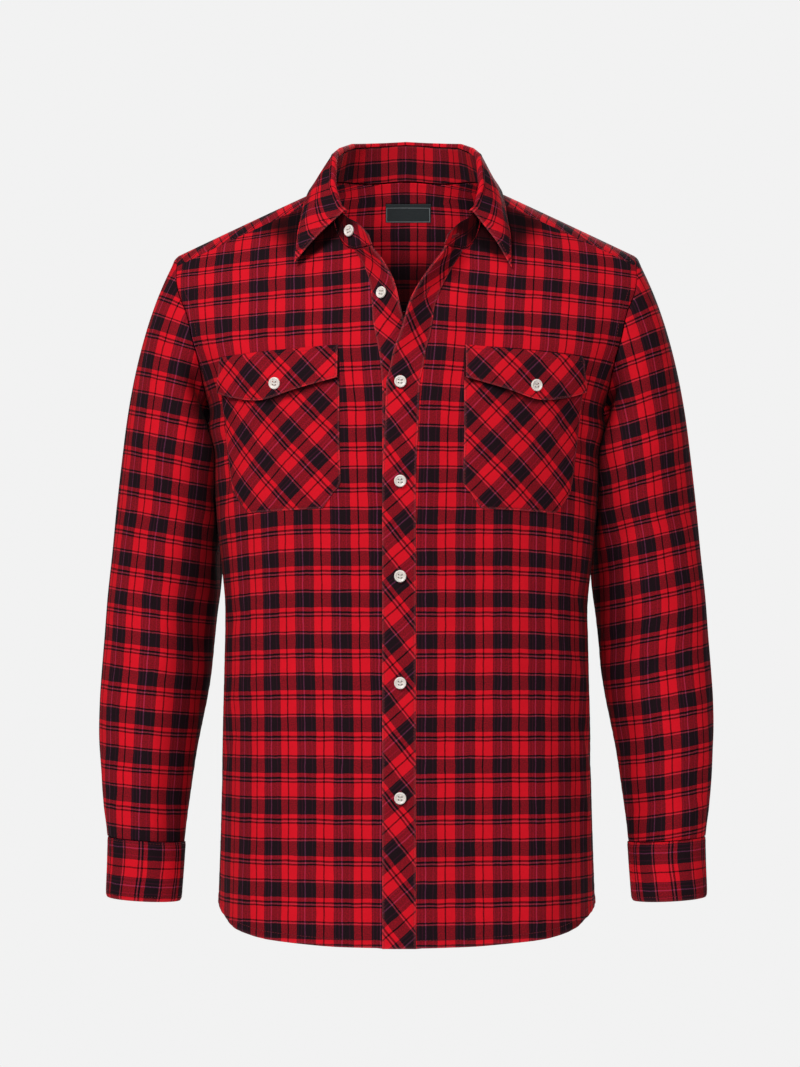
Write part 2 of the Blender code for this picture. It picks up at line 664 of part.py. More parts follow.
def sleeve_angle(k, side, shares):
    turns = np.floor(k / LOOP_CELLS)
    share = np.interp(k - turns * LOOP_CELLS, np.arange(LOOP_CELLS + 1), shares)
    return math.pi - 2 * math.pi * (share + turns)


def sleeve_level(r):
    return SLEEVE_TOP + (CUFF_TOP + SEAM_GAP - SLEEVE_TOP) * (r - CAP_ROWS) / SLEEVE_ROWS


def sleeve_grid(k, r, side, shares):
    """Point k round and row r along a sleeve: first its crown, then rings down to the cuff."""
    k, r = np.broadcast_arrays(np.asarray(k, dtype=float), np.asarray(r, dtype=float))
    angle = sleeve_angle(k, side, shares)
    level = sleeve_level(np.maximum(r, CAP_ROWS))
    ring = arm_ring(angle, level, side)
    h = np.clip(r / CAP_ROWS, 0, 1)
    start, normal = armhole_point(k, side)
    ahead, _ = armhole_point(k + 0.02, side)
    behind, _ = armhole_point(k - 0.02, side)
    along = unit(ahead - behind)
    away = unit(np.cross(along, normal)) * side
    sideways = np.sin(angle)[..., None] ** 2
    ends = np.where(np.cos(angle)[..., None] < 0, CAP_UNDER, CAP_START)
    leave = ends * (1 - sideways) + np.array(CAP_SIDE) * sideways
    leave = np.stack([side * leave[..., 0], np.zeros_like(angle), leave[..., 1]], axis=-1)
    hang = smooth_step(0.3, -0.3, np.sum(unit(leave) * away, axis=-1, keepdims=True))
    start = start + SEAM_GAP * (1 - hang) * away + UNDER_GAP * hang * normal
    reach = np.linalg.norm(ring - start, axis=-1)
    arrive = np.array([side * CAP_END[0], 0.0, CAP_END[1]])
    h1 = h[..., None]
    crown = ((1 + 2 * h1) * (1 - h1) ** 2 * start
             + h1 * (1 - h1) ** 2 * reach[..., None] * unit(leave)
             + h1 * h1 * (3 - 2 * h1) * ring
             + h1 * h1 * (h1 - 1) * reach[..., None] * arrive)
    return np.where((r < CAP_ROWS)[..., None], crown, ring)


def cuff_grid(i, j, side):
    """Cell i round a cuff, which laps over itself, and row j down it."""
    i, j = np.broadcast_arrays(np.asarray(i, dtype=float), np.asarray(j, dtype=float))
    radius = float(sleeve_wide(CUFF_TOP))
    lap = CUFF_LAP / radius
    whole = 2 * math.pi + lap
    turn = i / CUFF_CELLS * whole
    angle = math.radians(CUFF_LAP_ANGLE) - lap / 2 + turn
    under = CUFF_LAP_STEP * (1 - smooth_step(lap, 3 * lap, turn))
    level = CUFF_TOP - SEAM_GAP + (CUFF_BOTTOM - CUFF_TOP) * j / CUFF_ROWS
    return arm_ring(angle, level, side, SEAM_GAP - under)


def slit_grid(i, j, side):
    """The strip over a sleeve's slit, above the middle of the cuff's lap."""
    i, j = np.broadcast_arrays(np.asarray(i, dtype=float), np.asarray(j, dtype=float))
    level = CUFF_TOP + SLIT_START + SLIT_LENGTH * j / SLIT_ROWS
    angle = math.radians(CUFF_LAP_ANGLE) + (i - 1) * SLIT_WIDTH / 2 / sleeve_wide(level)
    return arm_ring(angle, level, side)


# Collar: the stand rises from the neck seam, from the right front's end to the left's

stand_out = curve(STAND_RISE, "out")
stand_back = curve(STAND_RISE, "back")
stand_up = curve(STAND_RISE, "up")
fall_x = curve(FALL_EDGE, "x")
fall_y = curve(FALL_EDGE, "y")
fall_z = curve(FALL_EDGE, "z")


def neck_seam(i):
    """The neck seam at station i of the stand."""
    front_cells = STRIP_CELLS + NECK_CELLS
    right = front_grid(np.clip(i, 0, front_cells), FRONT_ROWS, -1)
    left = front_grid(np.clip(STAND_CELLS - i, 0, front_cells), FRONT_ROWS, 1)
    behind = yoke_grid(SEAM_CELLS + np.clip(i - front_cells, 0, YOKE_NECK_CELLS), YOKE_ROWS)
    on_right = (i < front_cells)[..., None]
    on_left = (i > STAND_CELLS - front_cells)[..., None]
    return np.where(on_right, right, np.where(on_left, left, behind))


def stand_rise(i):
    half = STAND_CELLS / 2
    share = 1 - np.abs(i - half) / half
    side = np.clip((i - half) / 2, -1, 1)
    return np.stack([side * stand_out(share), stand_back(share), stand_up(share)], axis=-1)


def stand_grid(i, j):
    i, j = np.broadcast_arrays(np.asarray(i, dtype=float), np.asarray(j, dtype=float))
    rise = stand_rise(i)
    along = unit(neck_seam(np.minimum(i + 0.02, STAND_CELLS)) - neck_seam(np.maximum(i - 0.02, 0)))
    away = unit(rise - np.sum(rise * along, axis=-1, keepdims=True) * along)
    return neck_seam(i) + STAND_GAP * away + rise * (j / STAND_ROWS)[..., None]


def stand_edge(station):
    """The stand's top edge between its own points: the point, its outward way and its upward way."""
    low = np.clip(np.floor(station), 0, STAND_CELLS - 1)
    share = (station - low)[..., None]
    found = []
    for k in (low, low + 1):
        top, out = sample(stand_grid, k, np.full_like(k, STAND_ROWS), -1, STAND_CELLS, STAND_ROWS)
        ahead = stand_grid(np.minimum(k + 0.5, STAND_CELLS), STAND_ROWS)
        behind = stand_grid(np.maximum(k - 0.5, 0), STAND_ROWS)
        along = unit(ahead - behind)
        rise = stand_rise(k)
        up = unit(rise - np.sum(rise * along, axis=-1, keepdims=True) * along)
        found.append((top, out, up))
    return [before * (1 - share) + after * share for before, after in zip(*found)]


def fall_grid(i, j):
    """Cell i along the fall from its right tip, row j from the stand over the roll and down."""
    i, j = np.broadcast_arrays(np.asarray(i, dtype=float), np.asarray(j, dtype=float))
    half = FALL_CELLS / 2
    share = 1 - np.abs(i - half) / half
    side = np.clip((i - half) / 2, -1, 1)
    sign = np.sign(i - half)
    station = STAND_CELLS / 2 * (1 + sign * (1 - FALL_START) * (1 - share))
    top, out, up = stand_edge(station)
    turn = math.pi * (1 - np.clip(j / FALL_ROLL_ROWS, 0, 1))
    radius = FALL_ROLL_WIDTH / 2
    away = radius * (1 + np.cos(turn)) - CLOTH
    high = FALL_GAP + FALL_ROLL_HEIGHT * np.sin(turn)
    roll = top + out * away[..., None] + up * high[..., None]
    tip = np.clip(1 - share / 0.75, 0, 1)
    edge = np.stack([side * fall_x(share) - FALL_TIP_SHIFT * tip, fall_y(share),
                     fall_z(share) - FALL_TIP_DROP * sign * tip], axis=-1)
    down = np.clip((j - FALL_ROLL_ROWS) / (FALL_ROWS - FALL_ROLL_ROWS), 0, 1)
    bulge = FALL_BULGE * np.sin(math.pi * down) * (1 - 0.9 * smooth_step(0.15, 0.50, share))
    return roll + (edge - roll) * down[..., None] + out * bulge[..., None]


# Patches on the fronts

patch_inner = curve(POCKET, "inner")
patch_outer = curve(POCKET, "outer")
pocket_z_inner = curve(POCKET, "z_inner")
pocket_z_outer = curve(POCKET, "z_outer")
flap_top = curve(FLAP, "top")
flap_bottom = curve(FLAP, "bottom")


def patch(inner, outer, share, z, side):
    """A point on a front between two distances out from the patches' middle line."""
    near = tau_of(PATCH_MIDDLE + side * inner, z)
    far = tau_of(PATCH_MIDDLE + side * outer, z)
    return front(near + (far - near) * share, z, side)


def pocket_grid(i, j, side):
    i, j = np.broadcast_arrays(np.asarray(i, dtype=float), np.asarray(j, dtype=float))
    share = i / POCKET_CELLS
    z = pocket_z_inner(j) + (pocket_z_outer(j) - pocket_z_inner(j)) * share
    return patch(patch_inner(j), patch_outer(j), share, z, side)


def flap_grid(i, j, side):
    i, j = np.broadcast_arrays(np.asarray(i, dtype=float), np.asarray(j, dtype=float))
    share = i / FLAP_CELLS
    z = flap_top(share) + (flap_bottom(share) - flap_top(share)) * j / FLAP_ROWS
    return patch(FLAP_INNER, FLAP_OUTER, share, z, side)


def label_grid(i, j):
    i, j = np.broadcast_arrays(np.asarray(i, dtype=float), np.asarray(j, dtype=float))
    x = LABEL_X + (i / LABEL_CELLS - 0.5) * LABEL_WIDTH
    z = LABEL_BOTTOM + (LABEL_TOP - LABEL_BOTTOM) * j / LABEL_ROWS
    return arch(x, psi_of(x, z, 1))


# Walls

def sample(grid, i, j, facing, columns, rows, wrap=False):
    """Points of a grid and its outward normals; facing is 1 or -1 by the grid's direction."""
    step = 0.02
    low_i = i - 0.25 if wrap else np.clip(i - step, 0, columns)
    high_i = i + 0.25 if wrap else np.clip(i + step, 0, columns)
    low_j = np.clip(j - step, 0, rows)
    high_j = np.clip(j + step, 0, rows)
    across = grid(high_i, j) - grid(low_i, j)
    along = grid(i, high_j) - grid(i, low_j)
    return grid(i, j), unit(np.cross(across, along)) * facing


def wall(name, outer, inner, facing, material, wrap=False):
    """A closed solid between two grids of points, joined along their borders."""
    rows, columns = outer.shape[:2]
    count = rows * columns
    points = np.concatenate([outer.reshape(-1, 3), inner.reshape(-1, 3)])
    faces = []
    last = columns if wrap else columns - 1

    def at(j, i, layer):
        return layer * count + j * columns + i % columns

    for j in range(rows - 1):
        for i in range(last):
            quad = [at(j, i, 0), at(j, i + 1, 0), at(j + 1, i + 1, 0), at(j + 1, i, 0)]
            faces.append(quad)
            faces.append([quad[k] + count for k in (0, 3, 2, 1)])
    for i in range(last):
        faces.append([at(0, i + 1, 0), at(0, i, 0), at(0, i, 1), at(0, i + 1, 1)])
        top = rows - 1
        faces.append([at(top, i, 0), at(top, i + 1, 0), at(top, i + 1, 1), at(top, i, 1)])
    if not wrap:
        for j in range(rows - 1):
            faces.append([at(j, 0, 0), at(j + 1, 0, 0), at(j + 1, 0, 1), at(j, 0, 1)])
            far = columns - 1
            faces.append([at(j + 1, far, 0), at(j, far, 0), at(j, far, 1), at(j + 1, far, 1)])
    if facing < 0:
        faces = [[face[k] for k in (0, 3, 2, 1)] for face in faces]
    return add_mesh(name, points, faces, material)


def add_mesh(name, points, faces, material):
    mesh = bpy.data.meshes.new(name)
    mesh.from_pydata([tuple(map(float, point)) for point in points], [], faces)
    mesh.validate()
    mesh.shade_smooth()
    mesh.set_sharp_from_angle(angle=math.radians(50))
    mesh.materials.append(material)
    piece = bpy.data.objects.new(name, mesh)
    bpy.context.collection.objects.link(piece)
    return piece


def cloth(name, grid, i, j, facing, material, columns, rows,
          thickness=CLOTH, out=0.0, wrap=False):
    """A wall of cloth over the cells i and j of a grid, its outer face moved out by out."""
    across, along = np.meshgrid(np.asarray(i, dtype=float), np.asarray(j, dtype=float))
    point, normal = sample(grid, across, along, facing, columns, rows, wrap)
    outer = point + normal * out
    return wall(name, outer, outer - normal * thickness, facing, material, wrap)


def nodes(count, start_trim=0.0, end_trim=0.0):
    """Whole cells from 0 to count, with the ends drawn in by a share of a cell."""
    line = np.arange(count + 1, dtype=float)
    line[0] += start_trim
    line[-1] -= end_trim
    return line


# Pieces

def make_material(name, colour, roughness):
    material = bpy.data.materials.new(name)
    material.use_nodes = True
    shader = material.node_tree.nodes["Principled BSDF"]
    shader.inputs["Base Color"].default_value = (*colour, 1.0)
    shader.inputs["Roughness"].default_value = roughness
    shader.inputs["Metallic"].default_value = 0.0
    return material


SIDES = ((-1, "right"), (1, "left"))
HALF_SEAM = 0.008        # share of a cell: half the gap at the side seam
YOKE_SEAM = 0.014        # and at the yoke's seams


def build_fronts(material):
    for side, word in SIDES:
        columns = nodes(FRONT_CELLS, 0.0, HALF_SEAM)
        rows = nodes(FRONT_ROWS, 0.0, YOKE_SEAM)

        def grid(i, j, side=side):
            return front_grid(i, j, side)
        cloth(f"front_{word}", grid, columns, rows, side, material, FRONT_CELLS, FRONT_ROWS)
        strip = "placket" if side > 0 else "button_band"
        rows = nodes(FRONT_ROWS, 0.03, 0.03)
        rows[0] = 0.02
        cloth(strip, grid, np.arange(STRIP_CELLS + 1), rows, side, material,
              FRONT_CELLS, FRONT_ROWS, STRIP, LAY_GAP + STRIP)


def build_back(material):
    columns = nodes(BACK_CELLS, HALF_SEAM, HALF_SEAM)
    rows = nodes(BACK_ROWS, 0.0, YOKE_SEAM)
    cloth("back", back_grid, columns, rows, -1, material, BACK_CELLS, BACK_ROWS)


def build_yoke(material):
    cloth("yoke", yoke_grid, nodes(YOKE_CELLS), nodes(YOKE_ROWS), -1, material,
          YOKE_CELLS, YOKE_ROWS)


def build_sleeves(material):
    rings = {}
    for side, word in SIDES:
        shares = loop_shares(side)

        def grid(k, r, side=side, shares=shares):
            return sleeve_grid(k, r, side, shares)
        around = np.arange(LOOP_CELLS, dtype=float)
        along = np.arange(CAP_ROWS + SLEEVE_ROWS + 1, dtype=float)
        k, r = np.meshgrid(around, along)
        point, normal = sample(grid, k, r, -side, LOOP_CELLS, CAP_ROWS + SLEEVE_ROWS, True)
        # where the sleeve turns down over its seam, its edge is cut square to the panel
        _, panel = armhole_point(around, side)
        turn = np.sum(unit(point[1] - point[0]) * panel, axis=-1, keepdims=True)
        square = smooth_step(0.10, -0.10, turn)
        normal[0] = unit(panel * square + normal[0] * (1 - square))
        inner = point - normal * CLOTH
        wall(f"sleeve_{word}", point, inner, -side, material, True)
        rings[side] = grid
    return rings


def build_cuffs(material):
    for side, word in SIDES:
        def cuff(i, j, side=side):
            return cuff_grid(i, j, side)

        def slit(i, j, side=side):
            return slit_grid(i, j, side)
        cloth(f"cuff_{word}", cuff, nodes(CUFF_CELLS), nodes(CUFF_ROWS), side, material,
              CUFF_CELLS, CUFF_ROWS)
        cloth(f"sleeve_placket_{word}", slit, nodes(2), nodes(SLIT_ROWS), -side, material,
              2, SLIT_ROWS, STRIP, PATCH_GAP + STRIP)


def build_collar(material):
    cloth("collar_stand", stand_grid, nodes(STAND_CELLS), nodes(STAND_ROWS), -1, material,
          STAND_CELLS, STAND_ROWS)
    cloth("collar_fall", fall_grid, nodes(FALL_CELLS), nodes(FALL_ROWS), 1, material,
          FALL_CELLS, FALL_ROWS)


def build_pockets(material):
    for side, word in SIDES:
        def pocket(i, j, side=side):
            return pocket_grid(i, j, side)

        def flap(i, j, side=side):
            return flap_grid(i, j, side)
        cloth(f"pocket_{word}", pocket, nodes(POCKET_CELLS), POCKET_NODES, -side,
              material, POCKET_CELLS, POCKET_NODES[-1], STRIP, PATCH_GAP + STRIP)
        cloth(f"flap_{word}", flap, nodes(FLAP_CELLS), nodes(FLAP_ROWS), -side, material,
              FLAP_CELLS, FLAP_ROWS, STRIP, FLAP_OUT)


def build_label(material):
    cloth("neck_label", label_grid, nodes(LABEL_CELLS), nodes(LABEL_ROWS), -1, material,
          LABEL_CELLS, LABEL_ROWS, LABEL_THICK, -CLOTH - LABEL_GAP)


def build_button(name, foot, normal, material):
    """A turned button with a raised rim, its back at foot and its face towards normal."""
    profile = (
        (BUTTON_RADIUS, 0.0),
        (BUTTON_RADIUS, BUTTON_HEIGHT * 0.75),
        (BUTTON_RADIUS - BUTTON_RIM / 2, BUTTON_HEIGHT),
        (BUTTON_RADIUS - BUTTON_RIM, BUTTON_HEIGHT - BUTTON_DISH),
    )
    side_way = unit(np.cross(normal, (0.0, 0.0, 1.0)))
    up_way = np.cross(side_way, normal)
    points = []
    for radius, height in profile:
        for k in range(BUTTON_SIDES):
            angle = 2 * math.pi * k / BUTTON_SIDES
            around = side_way * math.cos(angle) + up_way * math.sin(angle)
            points.append(foot + normal * height + around * radius)
    back = len(points)
    points.append(foot)
    points.append(foot + normal * profile[-1][1])
    faces = []
    last = (len(profile) - 1) * BUTTON_SIDES
    for k in range(BUTTON_SIDES):
        after = (k + 1) % BUTTON_SIDES
        for ring in range(0, last, BUTTON_SIDES):
            above = ring + BUTTON_SIDES
            faces.append([ring + k, above + k, above + after, ring + after])
        faces.append([back, k, after])
        faces.append([back + 1, last + after, last + k])
    add_mesh(name, points, faces, material)


def on_front(x, z, side):
    """A point of a front and its outward normal."""
    def grid(tau, level):
        return front(tau, level, side)
    step = 1e-4
    tau = tau_of(x, z)
    across = grid(tau + step, z) - grid(tau - step, z)
    along = grid(tau, z + step) - grid(tau, z - step)
    return grid(tau, z), unit(np.cross(across, along))


def build_buttons(material):
    strip_out = LAY_GAP + STRIP + BUTTON_GAP
    point, normal = sample(stand_grid, np.array(STAND_BUTTON_CELL), np.array(0.58 * STAND_ROWS), -1,
                           STAND_CELLS, STAND_ROWS)
    build_button("button_stand", point + normal * BUTTON_GAP, normal, material)
    point, normal = on_front(*BAND_BUTTON, -1)
    build_button("button_band_top", point + normal * strip_out, normal, material)
    for number, z in enumerate(PLACKET_BUTTONS, 1):
        point, normal = on_front(BUTTON_X, z, 1)
        build_button(f"button_placket_{number}", point + normal * strip_out, normal, material)
    for side, word in SIDES:
        point, normal = on_front(*FLAP_BUTTONS[side], side)
        foot = point + normal * (FLAP_OUT + BUTTON_GAP)
        build_button(f"button_flap_{word}", foot, normal, material)

        def cuff(i, j, side=side):
            return cuff_grid(i, j, side)
        lap = CUFF_LAP / float(sleeve_wide(CUFF_TOP))
        cell = CUFF_CELLS * (1 - lap / 2 / (2 * math.pi + lap))
        point, normal = sample(cuff, np.array(cell), np.array(CUFF_ROWS / 2), side,
                               CUFF_CELLS, CUFF_ROWS)
        build_button(f"button_cuff_{word}", point + normal * BUTTON_GAP, normal, material)


def main():
    for piece in list(bpy.data.objects):
        bpy.data.objects.remove(piece)
    flannel = make_material("flannel", (0.33, 0.02, 0.03), 0.9)
    woven = make_material("woven label", (0.03, 0.035, 0.035), 0.7)
    shell = make_material("button", (0.80, 0.76, 0.72), 0.35)
    build_fronts(flannel)
    build_back(flannel)
    build_yoke(flannel)
    build_sleeves(flannel)
    build_cuffs(flannel)
    build_collar(flannel)
    build_pockets(flannel)
    build_label(woven)
    build_buttons(shell)


main()
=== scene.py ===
"""The looks of a red and black flannel shirt, dressed over the frame of its solids.

Each piece of cloth is a thin shell on its solid's own surface: the same surface functions and the
same named sizes, worked out at a finer spacing, with creases, seams and edges added along the
normals. Metres, +Z up, the wearer's left side at +X, the front facing -Y.
"""
import math
from functools import partial

import bpy
import numpy as np
from mathutils import Matrix


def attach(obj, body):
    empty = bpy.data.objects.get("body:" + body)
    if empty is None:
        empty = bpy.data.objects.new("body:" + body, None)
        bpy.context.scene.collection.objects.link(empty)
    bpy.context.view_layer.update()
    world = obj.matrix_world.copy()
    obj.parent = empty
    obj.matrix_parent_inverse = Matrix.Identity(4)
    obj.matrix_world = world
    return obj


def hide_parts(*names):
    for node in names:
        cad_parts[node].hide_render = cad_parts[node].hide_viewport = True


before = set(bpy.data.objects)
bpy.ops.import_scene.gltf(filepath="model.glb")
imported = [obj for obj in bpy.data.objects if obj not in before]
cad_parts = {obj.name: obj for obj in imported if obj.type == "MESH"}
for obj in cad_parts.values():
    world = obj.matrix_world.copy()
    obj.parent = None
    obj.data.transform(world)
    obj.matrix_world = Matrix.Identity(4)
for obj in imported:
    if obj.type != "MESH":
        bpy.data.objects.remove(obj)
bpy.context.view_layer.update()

# The shirt's own sizes and surfaces, as its solids have them

# Cloth
CLOTH = 0.0012           # thickness of one flannel panel
STRIP = 0.0011           # thickness of the placket, the band and the pockets
SEAM_GAP = 0.0003        # between two pieces that are sewn together
LAY_GAP = 0.0004         # between a strip and the panel whose points it shares
PATCH_GAP = 0.0011       # between a patch and the panel it lies on
FLAP_OUT = 0.0042        # outer face of a flap from its front, over the pocket
LAP_ENDS = (-0.125, -0.070)   # between these heights that distance dies away
LAP = 0.0033             # how far the left front stands off the right front where they lap

# Torso
WAIST_POWER = 2.6        # squareness of the torso's cross-section along X
DEPTH_POWER = 2.2        # and along Y
SHOULDER_BASE = -0.210   # where the rounding over the shoulders starts
FRONT_ROUND = 2.0        # how squarely the chest turns over the shoulder
BACK_ROUND = 2.6         # and the back
RIDGE_TOP = 0.0436       # the shoulder ridge's line carried on to the middle
RIDGE_SLOPE = 0.478
RIDGE_BLEND = 0.030      # rounds the ridge's line inside the neck
ARMPIT = -0.230
FLAT_HALF = 0.253        # cloth from the middle of the front to the side seam
HEM_MIDDLE = -0.7445
YOKE_BACK = -0.115       # the yoke's straight seam across the back
YOKE_DROP = 0.0115       # the yoke's front seam below the ridge
STRIP_WIDTH = 0.0325     # the placket and the button band

TORSO = (
    ("z", "half_width", "front", "back"),
    (-0.760, 0.1880, 0.137, 0.137),
    (-0.700, 0.1870, 0.136, 0.135),
    (-0.600, 0.1845, 0.135, 0.130),
    (-0.540, 0.1835, 0.132, 0.121),
    (-0.480, 0.1820, 0.129, 0.111),
    (-0.420, 0.1810, 0.128, 0.106),
    (-0.368, 0.1855, 0.129, 0.108),
    (-0.336, 0.1890, 0.130, 0.112),
    (-0.288, 0.1925, 0.132, 0.118),
    (-0.230, 0.1945, 0.131, 0.123),
    (-0.190, 0.2090, 0.128, 0.125),
    (-0.150, 0.2390, 0.119, 0.125),
    (-0.110, 0.2620, 0.108, 0.124),
    (-0.068, 0.2800, 0.093, 0.124),
    (0.000, 0.3000, 0.078, 0.125),
    (0.060, 0.3120, 0.070, 0.120),
)

ARMHOLE = (
    ("z", "x"),
    (-0.2300, 0.1945),
    (-0.2120, 0.1985),
    (-0.1900, 0.2025),
    (-0.1730, 0.2055),
    (-0.1495, 0.2120),
    (-0.1270, 0.2170),
    (-0.1075, 0.2250),
    (-0.0900, 0.2285),
    (-0.0640, 0.2288),
)

HEM = (
    ("share", "rise"),   # share of the way from the front's middle to the side seam
    (0.00, 0.0000),
    (0.32, 0.0010),
    (0.44, 0.0030),
    (0.59, 0.0062),
    (0.70, 0.0112),
    (0.76, 0.0148),
    (0.83, 0.0210),
    (0.92, 0.0277),
    (1.00, 0.0330),
)

# The fronts' edges as seen from the front: they part at the neck and lap from the first button
EDGE_RIGHT = (
    ("z", "x", "flare"),
    (-0.7600, 0.0089, 0.000),
    (-0.2100, 0.0089, 0.000),
    (-0.1750, 0.0065, 0.000),
    (-0.1570, 0.0035, 0.001),
    (-0.1440, 0.0005, 0.005),
    (-0.1360, -0.0024, 0.010),
    (-0.1271, -0.0053, 0.016),
    (-0.0997, -0.0121, 0.024),
    (-0.0756, -0.0248, 0.031),
    (-0.0630, -0.0346, 0.034),
    (-0.0540, -0.0378, 0.034),
    (-0.0350, -0.0388, 0.034),
    (-0.0100, -0.0388, 0.034),
)
EDGE_LEFT = (
    ("z", "x", "flare"),
    (-0.7600, -0.0237, 0.000),
    (-0.3000, -0.0237, 0.000),
    (-0.2278, -0.0208, 0.000),
    (-0.1978, -0.0198, 0.001),
    (-0.1814, -0.0160, 0.004),
    (-0.1668, -0.0131, 0.008),
    (-0.1514, -0.0073, 0.012),
    (-0.1360, -0.0024, 0.017),
    (-0.1228, 0.0011, 0.020),
    (-0.1037, 0.0102, 0.024),
    (-0.0847, 0.0228, 0.029),
    (-0.0630, 0.0375, 0.034),
    (-0.0560, 0.0388, 0.034),
    (-0.0350, 0.0390, 0.034),
    (-0.0100, 0.0390, 0.034),
)
FLARE_REACH = 0.036      # how far from its edge an open front rolls forward

NECK_FRONT = (
    ("share", "x", "z"),  # from the stand's end to the yoke's front corner
    (0.00, 0.0355, -0.0630),
    (0.30, 0.0500, -0.0655),
    (0.55, 0.0632, -0.0575),
    (0.78, 0.0715, -0.0360),
    (1.00, 0.0752, -0.0066),
)
NECK_SIDE = 0.0775       # half the neck's width
NECK_BACK = 0.0130       # height of the neck seam at the back

# Collar
STAND_RISE = (
    ("share", "out", "back", "up"),  # stand's top from its foot, from its front end to the back
    (0.00, 0.003, 0.004, 0.010),
    (0.22, 0.004, 0.008, 0.028),
    (0.36, 0.003, 0.006, 0.034),
    (0.43, -0.001, 0.002, 0.035),
    (0.50, -0.004, -0.001, 0.028),
    (0.62, -0.006, 0.001, 0.0275),
    (0.75, -0.003, 0.006, 0.0345),
    (0.86, -0.001, 0.010, 0.0370),
    (1.00, 0.000, 0.012, 0.0370),
)
FALL_START = 7 / 24      # the fall's front edge, as a share of the stand's half length
FALL_EDGE = (
    ("share", "x", "y", "z"),  # the fall's free edge, from its tip to the middle of the back
    (0.00, 0.1066, -0.0770, -0.0800),
    (0.13, 0.1056, -0.0640, -0.0560),
    (0.26, 0.1030, -0.0490, -0.0370),
    (0.38, 0.0998, -0.0320, -0.0180),
    (0.50, 0.0955, -0.0050, -0.0015),
    (0.62, 0.0895, 0.0300, 0.0010),
    (0.75, 0.0740, 0.0630, 0.0000),
    (0.88, 0.0420, 0.0840, 0.0020),
    (1.00, 0.0000, 0.0920, 0.0040),
)
FALL_ROLL_HEIGHT = 0.0039   # of the roll over the stand
FALL_ROLL_WIDTH = 0.0064
FALL_ROLL_ROWS = 3
FALL_BULGE = 0.0030
FALL_GAP = 0.0009        # between the fall's root and the stand's top
STAND_GAP = 0.0010       # between the stand's foot and the neck seam
FALL_TIP_SHIFT = 0.0035  # both tips lie this far towards the wearer's right
FALL_TIP_DROP = 0.0024   # the left tip lies lower by this, the right one higher

# Sleeves: x is measured outward from the shirt's middle
SLEEVE = (
    ("z", "x", "y", "half_width", "half_depth", "tilt"),
    (-0.7100, 0.2622, -0.004, 0.0372, 0.0370, 3.0),
    (-0.6485, 0.2598, 0.002, 0.0388, 0.0380, 3.7),
    (-0.6200, 0.2605, 0.005, 0.0422, 0.0410, 5.0),
    (-0.6000, 0.2602, 0.007, 0.0445, 0.0435, 6.0),
    (-0.5600, 0.2590, 0.012, 0.0488, 0.0470, 7.0),
    (-0.5200, 0.2552, 0.017, 0.0525, 0.0500, 8.0),
    (-0.5000, 0.2527, 0.020, 0.0540, 0.0520, 8.5),
    (-0.4600, 0.2482, 0.024, 0.0555, 0.0540, 9.0),
    (-0.4200, 0.2450, 0.027, 0.0558, 0.0560, 10.0),
    (-0.3800, 0.2397, 0.027, 0.0567, 0.0580, 11.0),
    (-0.3400, 0.2352, 0.024, 0.0570, 0.0610, 12.0),
    (-0.3000, 0.2312, 0.018, 0.0562, 0.0640, 12.5),
    (-0.2620, 0.2272, 0.012, 0.0552, 0.0660, 13.0),
)
SLEEVE_TOP = -0.2620     # the first ring that goes all round the arm
CUFF_TOP = -0.6485
CUFF_BOTTOM = -0.7075
SLEEVE_CLEAR = 0.0035    # between the sleeve and the torso beside it
SLEEVE_SOFT = 0.0080     # how softly the sleeve flattens against the torso
CAP_START = (0.47, -0.88)   # direction in which the sleeve's crown leaves its seam: out, up
CAP_SIDE = (0.75, -0.66)    # and the sleeve's front and back
CAP_UNDER = (0.88, -0.47)   # and its underarm, which hangs back over the panel
CAP_END = (0.12, -0.99)
UNDER_GAP = 0.0008       # between the sleeve and the panel that it hangs back over

SLIT_START = 0.004       # the strip over the sleeve's slit, above the cuff
SLIT_LENGTH = 0.110
SLIT_WIDTH = 0.022

CUFF_LAP = 0.022         # how far a cuff laps over itself
CUFF_LAP_ANGLE = -62.0   # middle of the lap, degrees from the outer side towards the front
CUFF_LAP_STEP = 0.0021   # between the two layers of the lap

# The largest folds: soft troughs (minus) and ridges, as rows
TORSO_FOLDS = (
    ("half", "s", "z", "length", "width", "lean", "push"),  # s is cloth from the middle line
    (-1, -0.190, -0.560, 0.30, 0.024, 4, -0.0035),
    (-1, -0.140, -0.620, 0.26, 0.026, 2, 0.0025),
    (-1, 0.185, -0.600, 0.30, 0.024, -3, -0.0032),
    (-1, 0.132, -0.640, 0.24, 0.028, -2, 0.0026),
    (-1, -0.080, -0.680, 0.20, 0.030, 3, -0.0022),
    (-1, 0.085, -0.690, 0.18, 0.030, 0, -0.0020),
    (1, -0.160, -0.300, 0.22, 0.026, 28, -0.0040),
    (1, 0.165, -0.310, 0.20, 0.026, -30, -0.0036),
    (1, -0.105, -0.520, 0.34, 0.030, 5, -0.0045),
    (1, 0.095, -0.540, 0.36, 0.032, -4, -0.0040),
    (1, -0.020, -0.600, 0.30, 0.034, 2, 0.0030),
    (1, 0.180, -0.600, 0.26, 0.028, -3, 0.0030),
    (1, -0.190, -0.610, 0.26, 0.028, 4, 0.0030),
)
